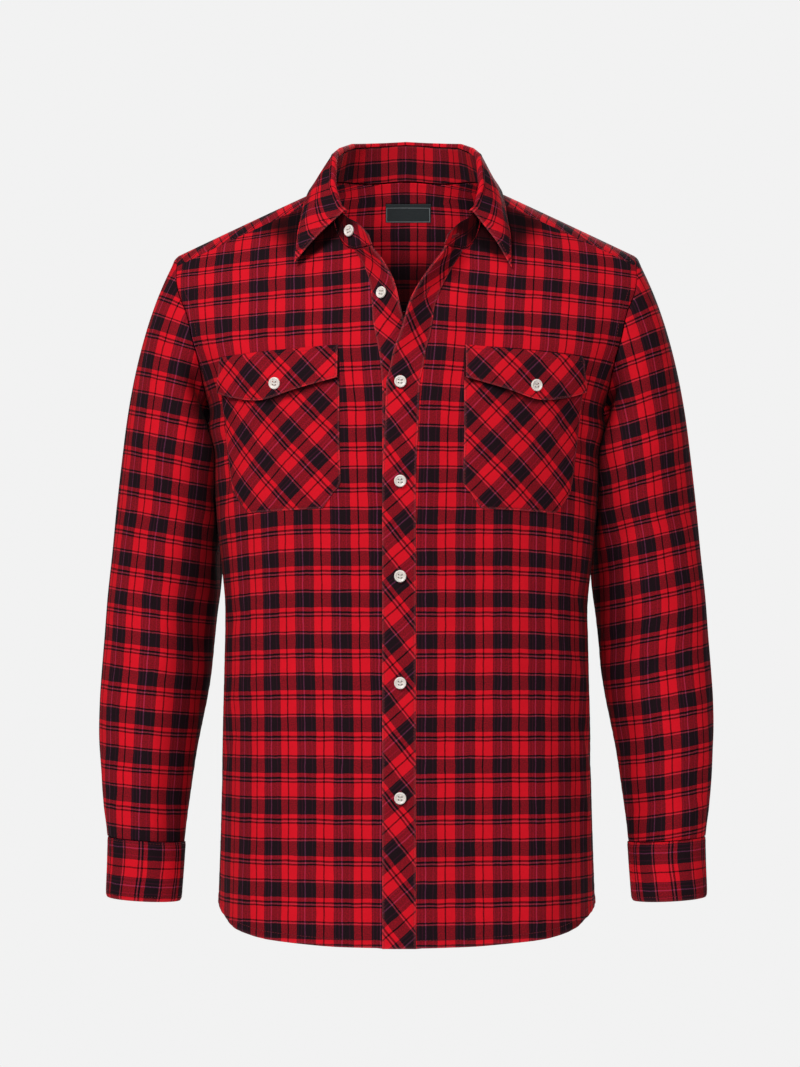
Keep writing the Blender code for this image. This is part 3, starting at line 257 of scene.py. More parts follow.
SLEEVE_FOLDS = (
    ("side", "angle", "z", "length", "width", "lean", "push"),  # angle from the outer side
    (-1, 110, -0.405, 0.100, 0.018, 118, -0.0045),
    (-1, 140, -0.440, 0.090, 0.018, 124, -0.0040),
    (-1, 95, -0.350, 0.090, 0.020, 110, 0.0025),
    (-1, 60, -0.560, 0.080, 0.018, 78, -0.0025),
    (-1, 120, -0.600, 0.060, 0.016, 140, -0.0030),
    (-1, 250, -0.380, 0.110, 0.020, 65, -0.0045),
    (-1, 225, -0.450, 0.100, 0.020, 55, -0.0040),
    (-1, 290, -0.520, 0.090, 0.020, 110, 0.0030),
    (1, 120, -0.450, 0.100, 0.018, 116, -0.0042),
    (1, 80, -0.480, 0.080, 0.018, 104, -0.0022),
    (1, 140, -0.380, 0.080, 0.018, 124, -0.0030),
    (1, 60, -0.590, 0.070, 0.018, 76, -0.0025),
    (1, 115, -0.610, 0.060, 0.016, 135, -0.0028),
    (1, 245, -0.370, 0.110, 0.020, 66, -0.0045),
    (1, 222, -0.440, 0.100, 0.020, 54, -0.0040),
    (1, 285, -0.530, 0.090, 0.020, 108, 0.0030),
)

# Pockets and flaps as seen from the front: x grows outward from their own middle line
PATCH_MIDDLE = -0.0048
POCKET = (
    ("row", "inner", "outer", "z_inner", "z_outer"),  # from the mouth down, with cut corners
    (0, 0.0603, 0.1785, -0.1680, -0.1810),
    (1, 0.0603, 0.1757, -0.2080, -0.2150),
    (2, 0.0603, 0.1705, -0.2490, -0.2600),
    (3, 0.0590, 0.1645, -0.2915, -0.3020),
    (4, 0.0675, 0.1580, -0.3055, -0.3130),
    (5, 0.0765, 0.1500, -0.3190, -0.3235),
)
POCKET_NODES = (0, 0.5, 1, 1.5, 2, 2.5, 3, 4, 5)
FLAP = (
    ("along", "top", "bottom"),  # from the inner end to the outer one, with a blunt point
    (0.00, -0.1600, -0.1930),
    (0.28, -0.1630, -0.2035),
    (0.56, -0.1659, -0.2135),
    (0.80, -0.1685, -0.2100),
    (1.00, -0.1706, -0.2040),
)
FLAP_INNER = 0.0618
FLAP_OUTER = 0.1770

BUTTON_RADIUS = 0.0059
BUTTON_GAP = 0.0009      # under a button, where its thread holds it off the cloth
BUTTON_X = -0.0063       # the closing's middle line
BAND_BUTTON = (-0.0228, -0.1095)
PLACKET_BUTTONS = (-0.1968, -0.2926, -0.3846, -0.4881, -0.5990)
FLAP_BUTTONS = {-1: (-0.1263, -0.1976), 1: (0.1240, -0.1995)}
STAND_BUTTON_CELL = 3.2  # the stand's button, in cells from the stand's right end

LABEL_WIDTH = 0.047
LABEL_TOP = -0.006
LABEL_BOTTOM = -0.0245
LABEL_X = 0.002
LABEL_GAP = 0.0010

# Cells of the grids
STRIP_CELLS = 3
NECK_CELLS = 3           # of a front's neck seam beyond its strip
SEAM_CELLS = 9           # of the yoke's front seam
SIDE_ROWS = 17           # from the hem to the armpit
ARM_ROWS = 7             # from the armpit to the yoke, in front
BACK_ARM_ROWS = 5        # and at the back
YOKE_NECK_CELLS = 12
YOKE_ROWS = 8
BACK_CELLS = 22
CAP_ROWS = 6
SLEEVE_ROWS = 16
STAND_ROWS = 3
FALL_ROWS = 7
FALL_CELLS = 34
CUFF_CELLS = 24
CUFF_ROWS = 2
POCKET_CELLS = 9
FLAP_CELLS = 10
FLAP_ROWS = 3
LABEL_CELLS = 4
LABEL_ROWS = 2
SLIT_ROWS = 5

FRONT_CELLS = STRIP_CELLS + NECK_CELLS + SEAM_CELLS
FRONT_ROWS = SIDE_ROWS + ARM_ROWS
YOKE_CELLS = YOKE_NECK_CELLS + 2 * SEAM_CELLS
BACK_ROWS = SIDE_ROWS + BACK_ARM_ROWS
LOOP_CELLS = ARM_ROWS + YOKE_ROWS + BACK_ARM_ROWS
STAND_CELLS = YOKE_NECK_CELLS + 2 * (NECK_CELLS + STRIP_CELLS)


# Curves through tables

def slopes(x, y):
    """Slopes at the points for a smooth curve that never overshoots them."""
    steps = np.diff(x)
    rates = np.diff(y) / steps
    slope = np.empty_like(y)
    slope[0] = rates[0]
    slope[-1] = rates[-1]
    for i in range(1, len(x) - 1):
        before, after = rates[i - 1], rates[i]
        if before * after <= 0:
            slope[i] = 0.0
            continue
        w_before = 2 * steps[i] + steps[i - 1]
        w_after = steps[i] + 2 * steps[i - 1]
        slope[i] = (w_before + w_after) / (w_before / before + w_after / after)
    return slope


def curve(table, name):
    """The named column as a smooth function of the table's first column."""
    names = table[0]
    rows = np.array(table[1:], dtype=float)
    x = rows[:, 0]
    y = rows[:, names.index(name)]
    slope = slopes(x, y)

    def value(at):
        at = np.clip(np.asarray(at, dtype=float), x[0], x[-1])
        i = np.clip(np.searchsorted(x, at) - 1, 0, len(x) - 2)
        width = x[i + 1] - x[i]
        t = (at - x[i]) / width
        return ((1 + 2 * t) * (1 - t) ** 2 * y[i] + t * (1 - t) ** 2 * width * slope[i]
                + t * t * (3 - 2 * t) * y[i + 1] + t * t * (t - 1) * width * slope[i + 1])
    return value


def curves(table):
    """A smooth function for each column after the first."""
    return [curve(table, name) for name in table[0][1:]]


def smooth_step(start, end, x):
    t = np.clip((x - start) / (end - start), 0.0, 1.0)
    return t * t * (3 - 2 * t)


def unit(vectors):
    return vectors / np.maximum(np.linalg.norm(vectors, axis=-1, keepdims=True), 1e-12)


def across_to(way, along):
    """The part of a direction that lies square to another, made one long."""
    return unit(way - np.sum(way * along, axis=-1, keepdims=True) * along)


def xyz(x, y, z):
    return np.stack([x, y, z], axis=-1)


def as_grid(i, j):
    """Places in a grid, given as numbers or arrays, as arrays of one shape."""
    return np.broadcast_arrays(np.asarray(i, dtype=float), np.asarray(j, dtype=float))


half_width, front_depth, back_depth = curves(TORSO)
armhole_x, = curves(ARMHOLE)
hem_rise, = curves(HEM)
edge_x = {-1: curve(EDGE_RIGHT, "x"), 1: curve(EDGE_LEFT, "x")}
edge_flare = {-1: curve(EDGE_RIGHT, "flare"), 1: curve(EDGE_LEFT, "flare")}
neck_x, neck_z = curves(NECK_FRONT)


# The torso: tau runs from 0 at the middle line to 1 at the side seam

def fold_push(table, group, across_cloth, z):
    """How far one group's folds push the cloth out, by cloth distance from each and height.

    A fold with a bend curves along its length, and one with a skew is narrower on one side."""
    total = np.zeros(np.shape(z))
    for row in table[1:]:
        fold = dict(zip(table[0], row))
        if row[0] != group:
            continue
        lean = math.radians(fold["lean"])
        level = across_cloth(fold)
        rise = z - fold["z"]
        along = rise * math.cos(lean) + level * math.sin(lean)
        across = level * math.cos(lean) - rise * math.sin(lean)
        across = across - fold.get("bend", 0.0) * along ** 2
        skew = fold.get("skew", 0.0)
        width = fold["width"] * (1 + skew * np.tanh(across / fold["width"]))
        window = np.clip(1 - (2 * along / fold["length"]) ** 2, 0, 1) ** 2
        total = total + fold["push"] * window * np.exp(-(across / width) ** 2)
    return total


def round_arm(angle, radius):
    """Cloth distance round an arm from a fold's own line."""
    def around(fold):
        turn = angle - math.radians(fold["angle"]) + math.pi
        return (turn % (2 * math.pi) - math.pi) * radius
    return around


def ridge(x):
    return RIDGE_TOP - RIDGE_SLOPE * np.hypot(x, RIDGE_BLEND)


def torso_depth(x, z, half):
    """y of the torso at x and z, in front for half -1 and at the back for half 1."""
    deep = front_depth(z) if half < 0 else back_depth(z)
    power = FRONT_ROUND if half < 0 else BACK_ROUND
    share = np.clip(np.abs(x) / half_width(z), 0, 1)
    level = np.clip((z - SHOULDER_BASE) / (ridge(x) - SHOULDER_BASE), 0, 1)
    over = (1 - level ** power) ** (1 / power)
    return half * deep * (1 - share ** WAIST_POWER) ** (1 / DEPTH_POWER) * over


def tau_of(x, z):
    return 2 / math.pi * np.arcsin(np.clip(x / half_width(z), -1, 1))


def torso(tau, z, half):
    wide = half_width(z)
    x = wide * np.sin(math.pi / 2 * tau)
    y = torso_depth(x, z, half)
    push = fold_push(TORSO_FOLDS, half, lambda fold: tau * FLAT_HALF - fold["s"], z)
    deep = front_depth(z)
    out = unit(xyz(x / wide ** 2, y / deep ** 2, np.zeros_like(x)))
    return xyz(x, y, z + np.zeros_like(x)) + push[..., None] * out


def front(tau, z, side):
    """A front: the torso, rolled forward where it is open and lifted where it laps over."""
    point = torso(tau, z, -1)
    inward = side * (point[..., 0] - edge_x[side](z))
    roll = edge_flare[side](z) * np.clip(1 - inward / FLARE_REACH, 0, 1) ** 2
    point[..., 1] -= roll
    if side > 0:
        lap = LAP * (1 - smooth_step(*LAP_ENDS, z))
        point[..., 1] -= lap * (1 - smooth_step(0.036, 0.075, inward))
    return point


STRIP_STEPS = np.linspace(0, 0.040, 81)


def strip_x(z, s, side):
    """x at cloth distance s in from a front's edge."""
    z = np.asarray(z, dtype=float)
    x = edge_x[side](z)[..., None] + side * STRIP_STEPS
    deep = z[..., None] + np.zeros_like(x)
    points = front(tau_of(x, deep), deep, side)
    lengths = np.linalg.norm(np.diff(points[..., :2], axis=-2), axis=-1)
    run = np.concatenate([np.zeros(lengths.shape[:-1] + (1,)), np.cumsum(lengths, axis=-1)], axis=-1)
    flat_x = x.reshape(-1, len(STRIP_STEPS))
    flat_run = run.reshape(-1, len(STRIP_STEPS))
    flat_s = (s + np.zeros_like(z)).ravel()
    found = [np.interp(at, r, line) for at, r, line in zip(flat_s, flat_run, flat_x)]
    return np.array(found).reshape(z.shape)


def row_height(j, arm_rows):
    """Row j as a share of the side: 0 to 1 from hem to armpit, then 1 to 2 along the armhole."""
    j = np.asarray(j, dtype=float)
    return np.where(j < SIDE_ROWS, j / SIDE_ROWS, 1 + (j - SIDE_ROWS) / arm_rows)


def corner_z():
    """Height at which the armhole meets the yoke's front seam."""
    return float(ridge(armhole_x(-0.078)) - YOKE_DROP)


CENTRE_ARM_LEVEL = -0.200   # where the row that reaches the armpit starts at the front's edge
TOP_PULL = 5.0              # how soon the rows take the shape of the panel's top edge


def levels(height, bottom, middle, top):
    return np.where(height < 1, bottom + (middle - bottom) * height,
                    middle + (top - middle) * (height - 1))


def front_top(i, side):
    """tau and z along a front's top edge, beyond its strip: the neck seam, then the yoke's seam."""
    cells = i - STRIP_CELLS
    foot_z = float(neck_z(0.30))
    foot_x = float(strip_x(np.array(foot_z), STRIP_WIDTH, side))
    share = 0.30 + 0.70 * np.clip(cells / NECK_CELLS, 0, 1)
    shift = (abs(foot_x) - float(neck_x(0.30))) * np.clip(1 - cells / NECK_CELLS, 0, 1)
    on_neck_x = neck_x(share) + shift
    on_neck_z = neck_z(share)
    along = np.clip((cells - NECK_CELLS) / SEAM_CELLS, 0, 1)
    far = corner_z()
    seam_x = NECK_FRONT[-1][1] + along * (float(armhole_x(far)) - NECK_FRONT[-1][1])
    seam_z = ridge(seam_x) - YOKE_DROP
    x = np.where(cells < NECK_CELLS, on_neck_x, seam_x)
    z = np.where(cells < NECK_CELLS, on_neck_z, seam_z)
    return side * tau_of(x, z), z


def front_grid(i, j, side):
    """Column i and row j of a front: columns 0 to STRIP_CELLS are its strip."""
    i, j = as_grid(i, j)
    height = row_height(j, ARM_ROWS)
    cells = FRONT_CELLS - STRIP_CELLS
    u = np.clip((i - STRIP_CELLS) / cells, 0, 1)
    top_tau, top_z = front_top(np.maximum(i, STRIP_CELLS), side)
    foot_tau, foot_z = front_top(np.full_like(i, STRIP_CELLS), side)
    last_z = corner_z()
    lift = (j / FRONT_ROWS) ** TOP_PULL
    # heights: the strip's seam line, the side, and the top edge's own shape near the top
    hem_share = np.clip(i / FRONT_CELLS, 0, 1)
    strip_z = levels(height, HEM_MIDDLE, CENTRE_ARM_LEVEL, foot_z)
    side_z = levels(height, HEM_MIDDLE + hem_rise(1.0), ARMPIT, last_z)
    z = strip_z + (side_z - strip_z) * u
    drop = np.clip(1 - height, 0, 1) ** 3
    z = z + drop * (hem_rise(hem_share) - hem_rise(1.0) * u)
    z = z + lift * (top_z - (foot_z + (last_z - foot_z) * u))
    # the strip's rows stay level but for the neck seam's slope
    edge_top = float(neck_z(0.0))
    s = np.clip(i / STRIP_CELLS, 0, 1) * STRIP_WIDTH
    tilt = (edge_top - foot_z) * (1 - np.clip(i / STRIP_CELLS, 0, 1)) * lift
    on_strip = i <= STRIP_CELLS
    z = np.where(on_strip, strip_z + tilt, z)
    # taus
    strip_tau = np.zeros_like(z)
    near = z[on_strip]
    strip_tau[on_strip] = tau_of(strip_x(near, s[on_strip], side), near)
    seam_tau = by_value(lambda at: [tau_of(strip_x(at, STRIP_WIDTH, side), at)], strip_z)[0]
    side_tau = side * np.where(height < 1, 1.0, tau_of(armhole_x(side_z), side_z))
    tau = seam_tau + (side_tau - seam_tau) * u
    end_tau = side * float(tau_of(armhole_x(last_z), last_z))
    tau = tau + lift * (top_tau - (foot_tau + (end_tau - foot_tau) * u))
    return front(np.where(on_strip, strip_tau, tau), z, side)


def back_grid(i, j):
    """Column i and row j of the back, from the wearer's right side to the left."""
    i, j = as_grid(i, j)
    height = row_height(j, BACK_ARM_ROWS)
    across = 2 * i / BACK_CELLS - 1
    u = np.abs(across)
    middle_z = levels(height, HEM_MIDDLE, ARMPIT + 0.012, YOKE_BACK)
    side_z = levels(height, HEM_MIDDLE + hem_rise(1.0), ARMPIT, YOKE_BACK)
    z = middle_z + (side_z - middle_z) * u ** 2
    z = z + np.clip(1 - height, 0, 1) ** 3 * (hem_rise(u) - hem_rise(1.0) * u ** 2)
    end_tau = np.where(height < 1, 1.0, tau_of(armhole_x(side_z), side_z))
    return torso(across * end_tau, z, 1)


# The yoke lies on arches that run over the shoulder at constant x: psi is -1 at the foot of the
# arch in front, 0 on the ridge and 1 at its foot at the back

def arch(x, psi):
    level = np.cos(math.pi / 2 * psi)
    z = SHOULDER_BASE + (ridge(x) - SHOULDER_BASE) * level
    before = torso_depth(x, z, -1)
    behind = torso_depth(x, z, 1)
    return xyz(x, np.where(psi < 0, before, behind), z)


def psi_of(x, z, half):
    level = np.clip((z - SHOULDER_BASE) / (ridge(x) - SHOULDER_BASE), -1, 1)
    return half * 2 / math.pi * np.arccos(level)


def yoke_top(i):
    """x and psi along the yoke's upper edge: front seam, neck, front seam."""
    far = float(armhole_x(corner_z()))
    near = NECK_FRONT[-1][1]
    mirrored = np.minimum(i, YOKE_CELLS - i)
    side = np.where(i < YOKE_CELLS / 2, -1.0, 1.0)
    seam = np.clip(mirrored / SEAM_CELLS, 0, 1)
    seam_x = far + (near - far) * seam
    seam_psi = psi_of(seam_x, ridge(seam_x) - YOKE_DROP, -1)
    turn = np.clip((mirrored - SEAM_CELLS) / (YOKE_NECK_CELLS / 2), 0, 1)
    corner_psi = float(psi_of(near, ridge(near) - YOKE_DROP, -1))
    back_psi = float(psi_of(0.0, NECK_BACK, 1))
    # beside the neck the seam goes out to the neck's half width and in again
    angle = math.pi / 2 * smooth_step(0, 1, turn) * 0.35 + math.pi / 2 * turn * 0.65
    swing = np.sin(math.pi * np.clip(turn / 0.45, 0, 1)) * (NECK_SIDE - near)
    neck_at = near * np.cos(angle) ** 0.85 + swing
    neck_psi = corner_psi + (back_psi - corner_psi) * np.sin(angle) ** 0.9
    on_seam = mirrored < SEAM_CELLS
    x = side * np.where(on_seam, seam_x, neck_at)
    return x, np.where(on_seam, seam_psi, neck_psi)


def yoke_grid(i, j):
    """Column i across the shoulders and row j from the back seam to the upper edge."""
    i, j = as_grid(i, j)
    v = j / YOKE_ROWS
    across = 2 * i / YOKE_CELLS - 1
    u = np.abs(across)
    side = np.where(across < 0, -1.0, 1.0)
    back_end = float(armhole_x(YOKE_BACK))
    foot_x = across * back_end
    foot_psi = psi_of(foot_x, YOKE_BACK, 1)
    top_x, top_psi = yoke_top(i)
    end_foot = float(psi_of(back_end, YOKE_BACK, 1))
    front_end = float(armhole_x(corner_z()))
    end_top = float(psi_of(front_end, corner_z(), -1))
    x = foot_x + (top_x - foot_x) * v
    psi = foot_psi + (top_psi - foot_psi) * v
    end_psi = end_foot + (end_top - end_foot) * v
    end_z = SHOULDER_BASE + (ridge(front_end) - SHOULDER_BASE) * np.cos(math.pi / 2 * end_psi)
    end_x = armhole_x(end_z)
    straight = back_end + (front_end - back_end) * v
    x = x + side * u ** 4 * (end_x - straight)
    return arch(x, psi)


# Sleeves: k goes round the armhole from the armpit, up the front, over and down the back

def by_value(find, at):
    """A function's arrays at the places of an array, found once for each value in it."""
    values, back = np.unique(at, return_inverse=True)
    return [found[back].reshape(np.shape(at) + found.shape[1:]) for found in find(values)]


def armhole_point(k, side):
    """A point on the armhole's line and the panel's normal there."""
    def find(values):
        return armhole_points(values, side)
    return by_value(find, k)


def armhole_points(k, side):
    """The armhole's seam point, and the normal of the panel there."""
    k = np.mod(np.asarray(k, dtype=float), LOOP_CELLS)
    far = FRONT_CELLS
    in_front = k < ARM_ROWS
    over = (k >= ARM_ROWS) & (k < ARM_ROWS + YOKE_ROWS)
    front_j = SIDE_ROWS + np.clip(k, 0, ARM_ROWS)
    yoke_i = 0.0 if side < 0 else float(YOKE_CELLS)
    yoke_j = YOKE_ROWS - np.clip(k - ARM_ROWS, 0, YOKE_ROWS)
    back_i = 0.0 if side < 0 else float(BACK_CELLS)
    back_j = BACK_ROWS - np.clip(k - ARM_ROWS - YOKE_ROWS, 0, BACK_ARM_ROWS)
    choices = (
        (in_front, lambda i, j: front_grid(i, j, side), far, front_j, side, FRONT_CELLS, FRONT_ROWS),
        (over, yoke_grid, yoke_i, yoke_j, -1, YOKE_CELLS, YOKE_ROWS),
        (~in_front & ~over, back_grid, back_i, back_j, -1, BACK_CELLS, BACK_ROWS),
    )
    point = np.zeros(k.shape + (3,))
    normal = np.zeros(k.shape + (3,))
    for chosen, grid, i, j, facing, columns, rows in choices:
        at, facing_out = sample(grid, i + np.zeros_like(k), j, facing, columns, rows)
        point = np.where(chosen[..., None], at, point)
        normal = np.where(chosen[..., None], facing_out, normal)
    return point, normal


def loop_shares(side):
    """Share of the armhole's length at each of its points, from the armpit round to it again."""
    points, _ = armhole_point(np.arange(LOOP_CELLS + 1) % LOOP_CELLS, side)
    run = np.concatenate([[0], np.cumsum(np.linalg.norm(np.diff(points, axis=0), axis=1))])
    return run / run[-1]


sleeve_x, sleeve_y, sleeve_wide, sleeve_deep, sleeve_tilt = curves(SLEEVE)


def arm_ring(angle, level, side, grow=0.0):
    """A point of the sleeve's ring at a height, by its angle from the outer side to the front."""
    wide = sleeve_wide(level)
    deep = sleeve_deep(level)
    push = grow + fold_push(SLEEVE_FOLDS, side, round_arm(angle, (wide + deep) / 2), level)
    x = sleeve_x(level) + (wide + push) * np.cos(angle)
    y = sleeve_y(level) - (deep + push) * np.sin(angle)
    z = level + np.tan(np.radians(sleeve_tilt(level))) * (x - sleeve_x(level))
    deep_here = np.where(y < 0, front_depth(z), back_depth(z))
    beside = np.clip(1 - np.clip(np.abs(y) / deep_here, 0, 1) ** DEPTH_POWER, 0, 1)
    wall = half_width(z) * beside ** (1 / WAIST_POWER) + SLEEVE_CLEAR
    wall = np.where(beside > 0, wall, 0.0)
    over = x - wall
    x = wall + (over + np.sqrt(over ** 2 + SLEEVE_SOFT ** 2)) / 2
    return xyz(side * x, y, z)


def sleeve_angle(k, side, shares):
    turns = np.floor(k / LOOP_CELLS)
    share = np.interp(k - turns * LOOP_CELLS, np.arange(LOOP_CELLS + 1), shares)
    return math.pi - 2 * math.pi * (share + turns)


def sleeve_level(r):
    return SLEEVE_TOP + (CUFF_TOP + SEAM_GAP - SLEEVE_TOP) * (r - CAP_ROWS) / SLEEVE_ROWS


def sleeve_grid(k, r, side, shares):
    """Point k round and row r along a sleeve: first its crown, then rings down to the cuff."""
    k, r = as_grid(k, r)
    angle = sleeve_angle(k, side, shares)
    level = sleeve_level(np.maximum(r, CAP_ROWS))
    ring = arm_ring(angle, level, side)
    h = np.clip(r / CAP_ROWS, 0, 1)
    start, normal = armhole_point(k, side)
    ahead, _ = armhole_point(k + 0.02, side)
    behind, _ = armhole_point(k - 0.02, side)
    along = unit(ahead - behind)
    away = unit(np.cross(along, normal)) * side
    sideways = np.sin(angle)[..., None] ** 2
    ends = np.where(np.cos(angle)[..., None] < 0, CAP_UNDER, CAP_START)
    leave = ends * (1 - sideways) + np.array(CAP_SIDE) * sideways
    leave = xyz(side * leave[..., 0], np.zeros_like(angle), leave[..., 1])
    hang = smooth_step(0.3, -0.3, np.sum(unit(leave) * away, axis=-1, keepdims=True))
    start = start + SEAM_GAP * (1 - hang) * away + UNDER_GAP * hang * normal
    reach = np.linalg.norm(ring - start, axis=-1)
    arrive = np.array([side * CAP_END[0], 0.0, CAP_END[1]])
    h1 = h[..., None]
    crown = ((1 + 2 * h1) * (1 - h1) ** 2 * start
             + h1 * (1 - h1) ** 2 * reach[..., None] * unit(leave)
             + h1 * h1 * (3 - 2 * h1) * ring
             + h1 * h1 * (h1 - 1) * reach[..., None] * arrive)
    return np.where((r < CAP_ROWS)[..., None], crown, ring)


def cuff_grid(i, j, side):
    """Cell i round a cuff, which laps over itself, and row j down it."""
    i, j = as_grid(i, j)
    radius = float(sleeve_wide(CUFF_TOP))
    lap = CUFF_LAP / radius
    whole = 2 * math.pi + lap
    turn = i / CUFF_CELLS * whole
    angle = math.radians(CUFF_LAP_ANGLE) - lap / 2 + turn
    under = CUFF_LAP_STEP * (1 - smooth_step(lap, 3 * lap, turn))
    level = CUFF_TOP - SEAM_GAP + (CUFF_BOTTOM - CUFF_TOP) * j / CUFF_ROWS
    return arm_ring(angle, level, side, SEAM_GAP - under)


def slit_grid(i, j, side):
    """The strip over a sleeve's slit, above the middle of the cuff's lap."""
    i, j = as_grid(i, j)
    level = CUFF_TOP + SLIT_START + SLIT_LENGTH * j / SLIT_ROWS
    angle = math.radians(CUFF_LAP_ANGLE) + (i - 1) * SLIT_WIDTH / 2 / sleeve_wide(level)
    return arm_ring(angle, level, side)


# Collar: the stand rises from the neck seam, from the right front's end to the left's

stand_out, stand_back, stand_up = curves(STAND_RISE)
fall_x, fall_y, fall_z = curves(FALL_EDGE)


def neck_seam(i):
    """The neck seam at station i of the stand."""
    def find(values):
        return [neck_points(values)]
    return by_value(find, i)[0]


def neck_points(i):
    front_cells = STRIP_CELLS + NECK_CELLS
    right = front_grid(np.clip(i, 0, front_cells), FRONT_ROWS, -1)
    left = front_grid(np.clip(STAND_CELLS - i, 0, front_cells), FRONT_ROWS, 1)
    behind = yoke_grid(SEAM_CELLS + np.clip(i - front_cells, 0, YOKE_NECK_CELLS), YOKE_ROWS)
    on_right = (i < front_cells)[..., None]
    on_left = (i > STAND_CELLS - front_cells)[..., None]
    return np.where(on_right, right, np.where(on_left, left, behind))


def stand_rise(i):
    half = STAND_CELLS / 2
    share = 1 - np.abs(i - half) / half
    side = np.clip((i - half) / 2, -1, 1)
    return xyz(side * stand_out(share), stand_back(share), stand_up(share))


def stand_grid(i, j):
    i, j = as_grid(i, j)
    rise = stand_rise(i)
    along = unit(neck_seam(np.minimum(i + 0.02, STAND_CELLS)) - neck_seam(np.maximum(i - 0.02, 0)))
    away = across_to(rise, along)
    return neck_seam(i) + STAND_GAP * away + rise * (j / STAND_ROWS)[..., None]


def stand_edge(station):
    """The stand's top edge between its own points: the point, its outward way and its upward way."""
    low = np.clip(np.floor(station), 0, STAND_CELLS - 1)
    share = (station - low)[..., None]
    found = []
    for k in (low, low + 1):
        top, out = sample(stand_grid, k, np.full_like(k, STAND_ROWS), -1, STAND_CELLS, STAND_ROWS)
        ahead = stand_grid(np.minimum(k + 0.5, STAND_CELLS), STAND_ROWS)
        behind = stand_grid(np.maximum(k - 0.5, 0), STAND_ROWS)
        along = unit(ahead - behind)
        found.append((top, out, across_to(stand_rise(k), along)))
    return [before * (1 - share) + after * share for before, after in zip(*found)]


def fall_grid(i, j):
    """Cell i along the fall from its right tip, row j from the stand over the roll and down."""
    i, j = as_grid(i, j)
    half = FALL_CELLS / 2
    share = 1 - np.abs(i - half) / half
    side = np.clip((i - half) / 2, -1, 1)
    sign = np.sign(i - half)
    station = STAND_CELLS / 2 * (1 + sign * (1 - FALL_START) * (1 - share))
    top, out, up = by_value(stand_edge, station)
    turn = math.pi * (1 - np.clip(j / FALL_ROLL_ROWS, 0, 1))
    radius = FALL_ROLL_WIDTH / 2
    away = radius * (1 + np.cos(turn)) - CLOTH
    high = FALL_GAP + FALL_ROLL_HEIGHT * np.sin(turn)
    roll = top + out * away[..., None] + up * high[..., None]
    tip = np.clip(1 - share / 0.75, 0, 1)
    edge = xyz(side * fall_x(share) - FALL_TIP_SHIFT * tip, fall_y(share),
               fall_z(share) - FALL_TIP_DROP * sign * tip)
    down = np.clip((j - FALL_ROLL_ROWS) / (FALL_ROWS - FALL_ROLL_ROWS), 0, 1)
    bulge = FALL_BULGE * np.sin(math.pi * down) * (1 - 0.9 * smooth_step(0.15, 0.50, share))
    return roll + (edge - roll) * down[..., None] + out * bulge[..., None]


# Patches on the fronts

patch_inner, patch_outer, pocket_z_inner, pocket_z_outer = curves(POCKET)
flap_top, flap_bottom = curves(FLAP)


def patch(inner, outer, share, z, side):
    """A point on a front between two distances out from the patches' middle line."""
    near = tau_of(PATCH_MIDDLE + side * inner, z)
    far = tau_of(PATCH_MIDDLE + side * outer, z)
    return front(near + (far - near) * share, z, side)


def pocket_grid(i, j, side):
    i, j = as_grid(i, j)
    share = i / POCKET_CELLS
    z = pocket_z_inner(j) + (pocket_z_outer(j) - pocket_z_inner(j)) * share
    return patch(patch_inner(j), patch_outer(j), share, z, side)


def flap_grid(i, j, side):
    i, j = as_grid(i, j)
    share = i / FLAP_CELLS
    z = flap_top(share) + (flap_bottom(share) - flap_top(share)) * j / FLAP_ROWS
    return patch(FLAP_INNER, FLAP_OUTER, share, z, side)


def label_grid(i, j):
    i, j = as_grid(i, j)
    x = LABEL_X + (i / LABEL_CELLS - 0.5) * LABEL_WIDTH
    z = LABEL_BOTTOM + (LABEL_TOP - LABEL_BOTTOM) * j / LABEL_ROWS
    return arch(x, psi_of(x, z, 1))


# Points of a grid and their normals

def sample(grid, i, j, facing, columns, rows, wrap=False):
    """Points of a grid and its outward normals; facing is 1 or -1 by the grid's direction."""
    step = 0.02
    low_i = i - 0.25 if wrap else np.clip(i - step, 0, columns)
    high_i = i + 0.25 if wrap else np.clip(i + step, 0, columns)
    low_j = np.clip(j - step, 0, rows)
    high_j = np.clip(j + step, 0, rows)
    across = grid(high_i, j) - grid(low_i, j)
    along = grid(i, high_j) - grid(i, low_j)
    return grid(i, j), unit(np.cross(across, along)) * facing


# Camera: level with the middle of the shirt, straight on, with a long lens

CAMERA_AT = (-0.0065, -4.0, -0.3435)
CAMERA_LENS = 135.0
CAMERA_SENSOR = 36.0     # mm, along the picture's height
BACKDROP = 0.887         # the pale surround, as linear grey


def add_object(name, data):
    """A new object of the scene that holds a mesh, a lamp or a camera."""
    holder = bpy.data.objects.new(name, data)
    bpy.context.scene.collection.objects.link(holder)
    return holder


def make_camera():
    camera = bpy.data.cameras.new("camera")
    camera.lens = CAMERA_LENS
    camera.sensor_fit = "VERTICAL"
    camera.sensor_height = CAMERA_SENSOR
    holder = add_object("camera", camera)
    holder.location = CAMERA_AT
    holder.rotation_euler = (math.radians(90), 0, 0)
    bpy.context.scene.camera = holder


def aim(holder, target):
    way = np.array(target) - np.array(holder.location)
    flat = math.hypot(way[0], way[1])
    holder.rotation_euler = (math.atan2(flat, -way[2]), 0, math.atan2(-way[0], way[1]))


LIGHTS = (
    ("name", "x", "y", "z", "to_y", "to_z", "size", "watts"),
    ("key", -1.6, -2.8, 2.3, 0.0, -0.35, 1.3, 118.0),
    ("fill", 0.5, -3.6, 0.9, 0.0, -0.35, 1.6, 34.0),
    ("back", 0.6, 3.0, 1.4, 0.0, -0.35, 2.0, 110.0),
    ("neck", 0.0, -0.03, -0.110, 0.060, 0.012, 0.08, 0.045),   # on the yoke's inside
)
NECK_SPREAD = 95         # degrees
AMBIENT = 0.24           # what the surround gives as light


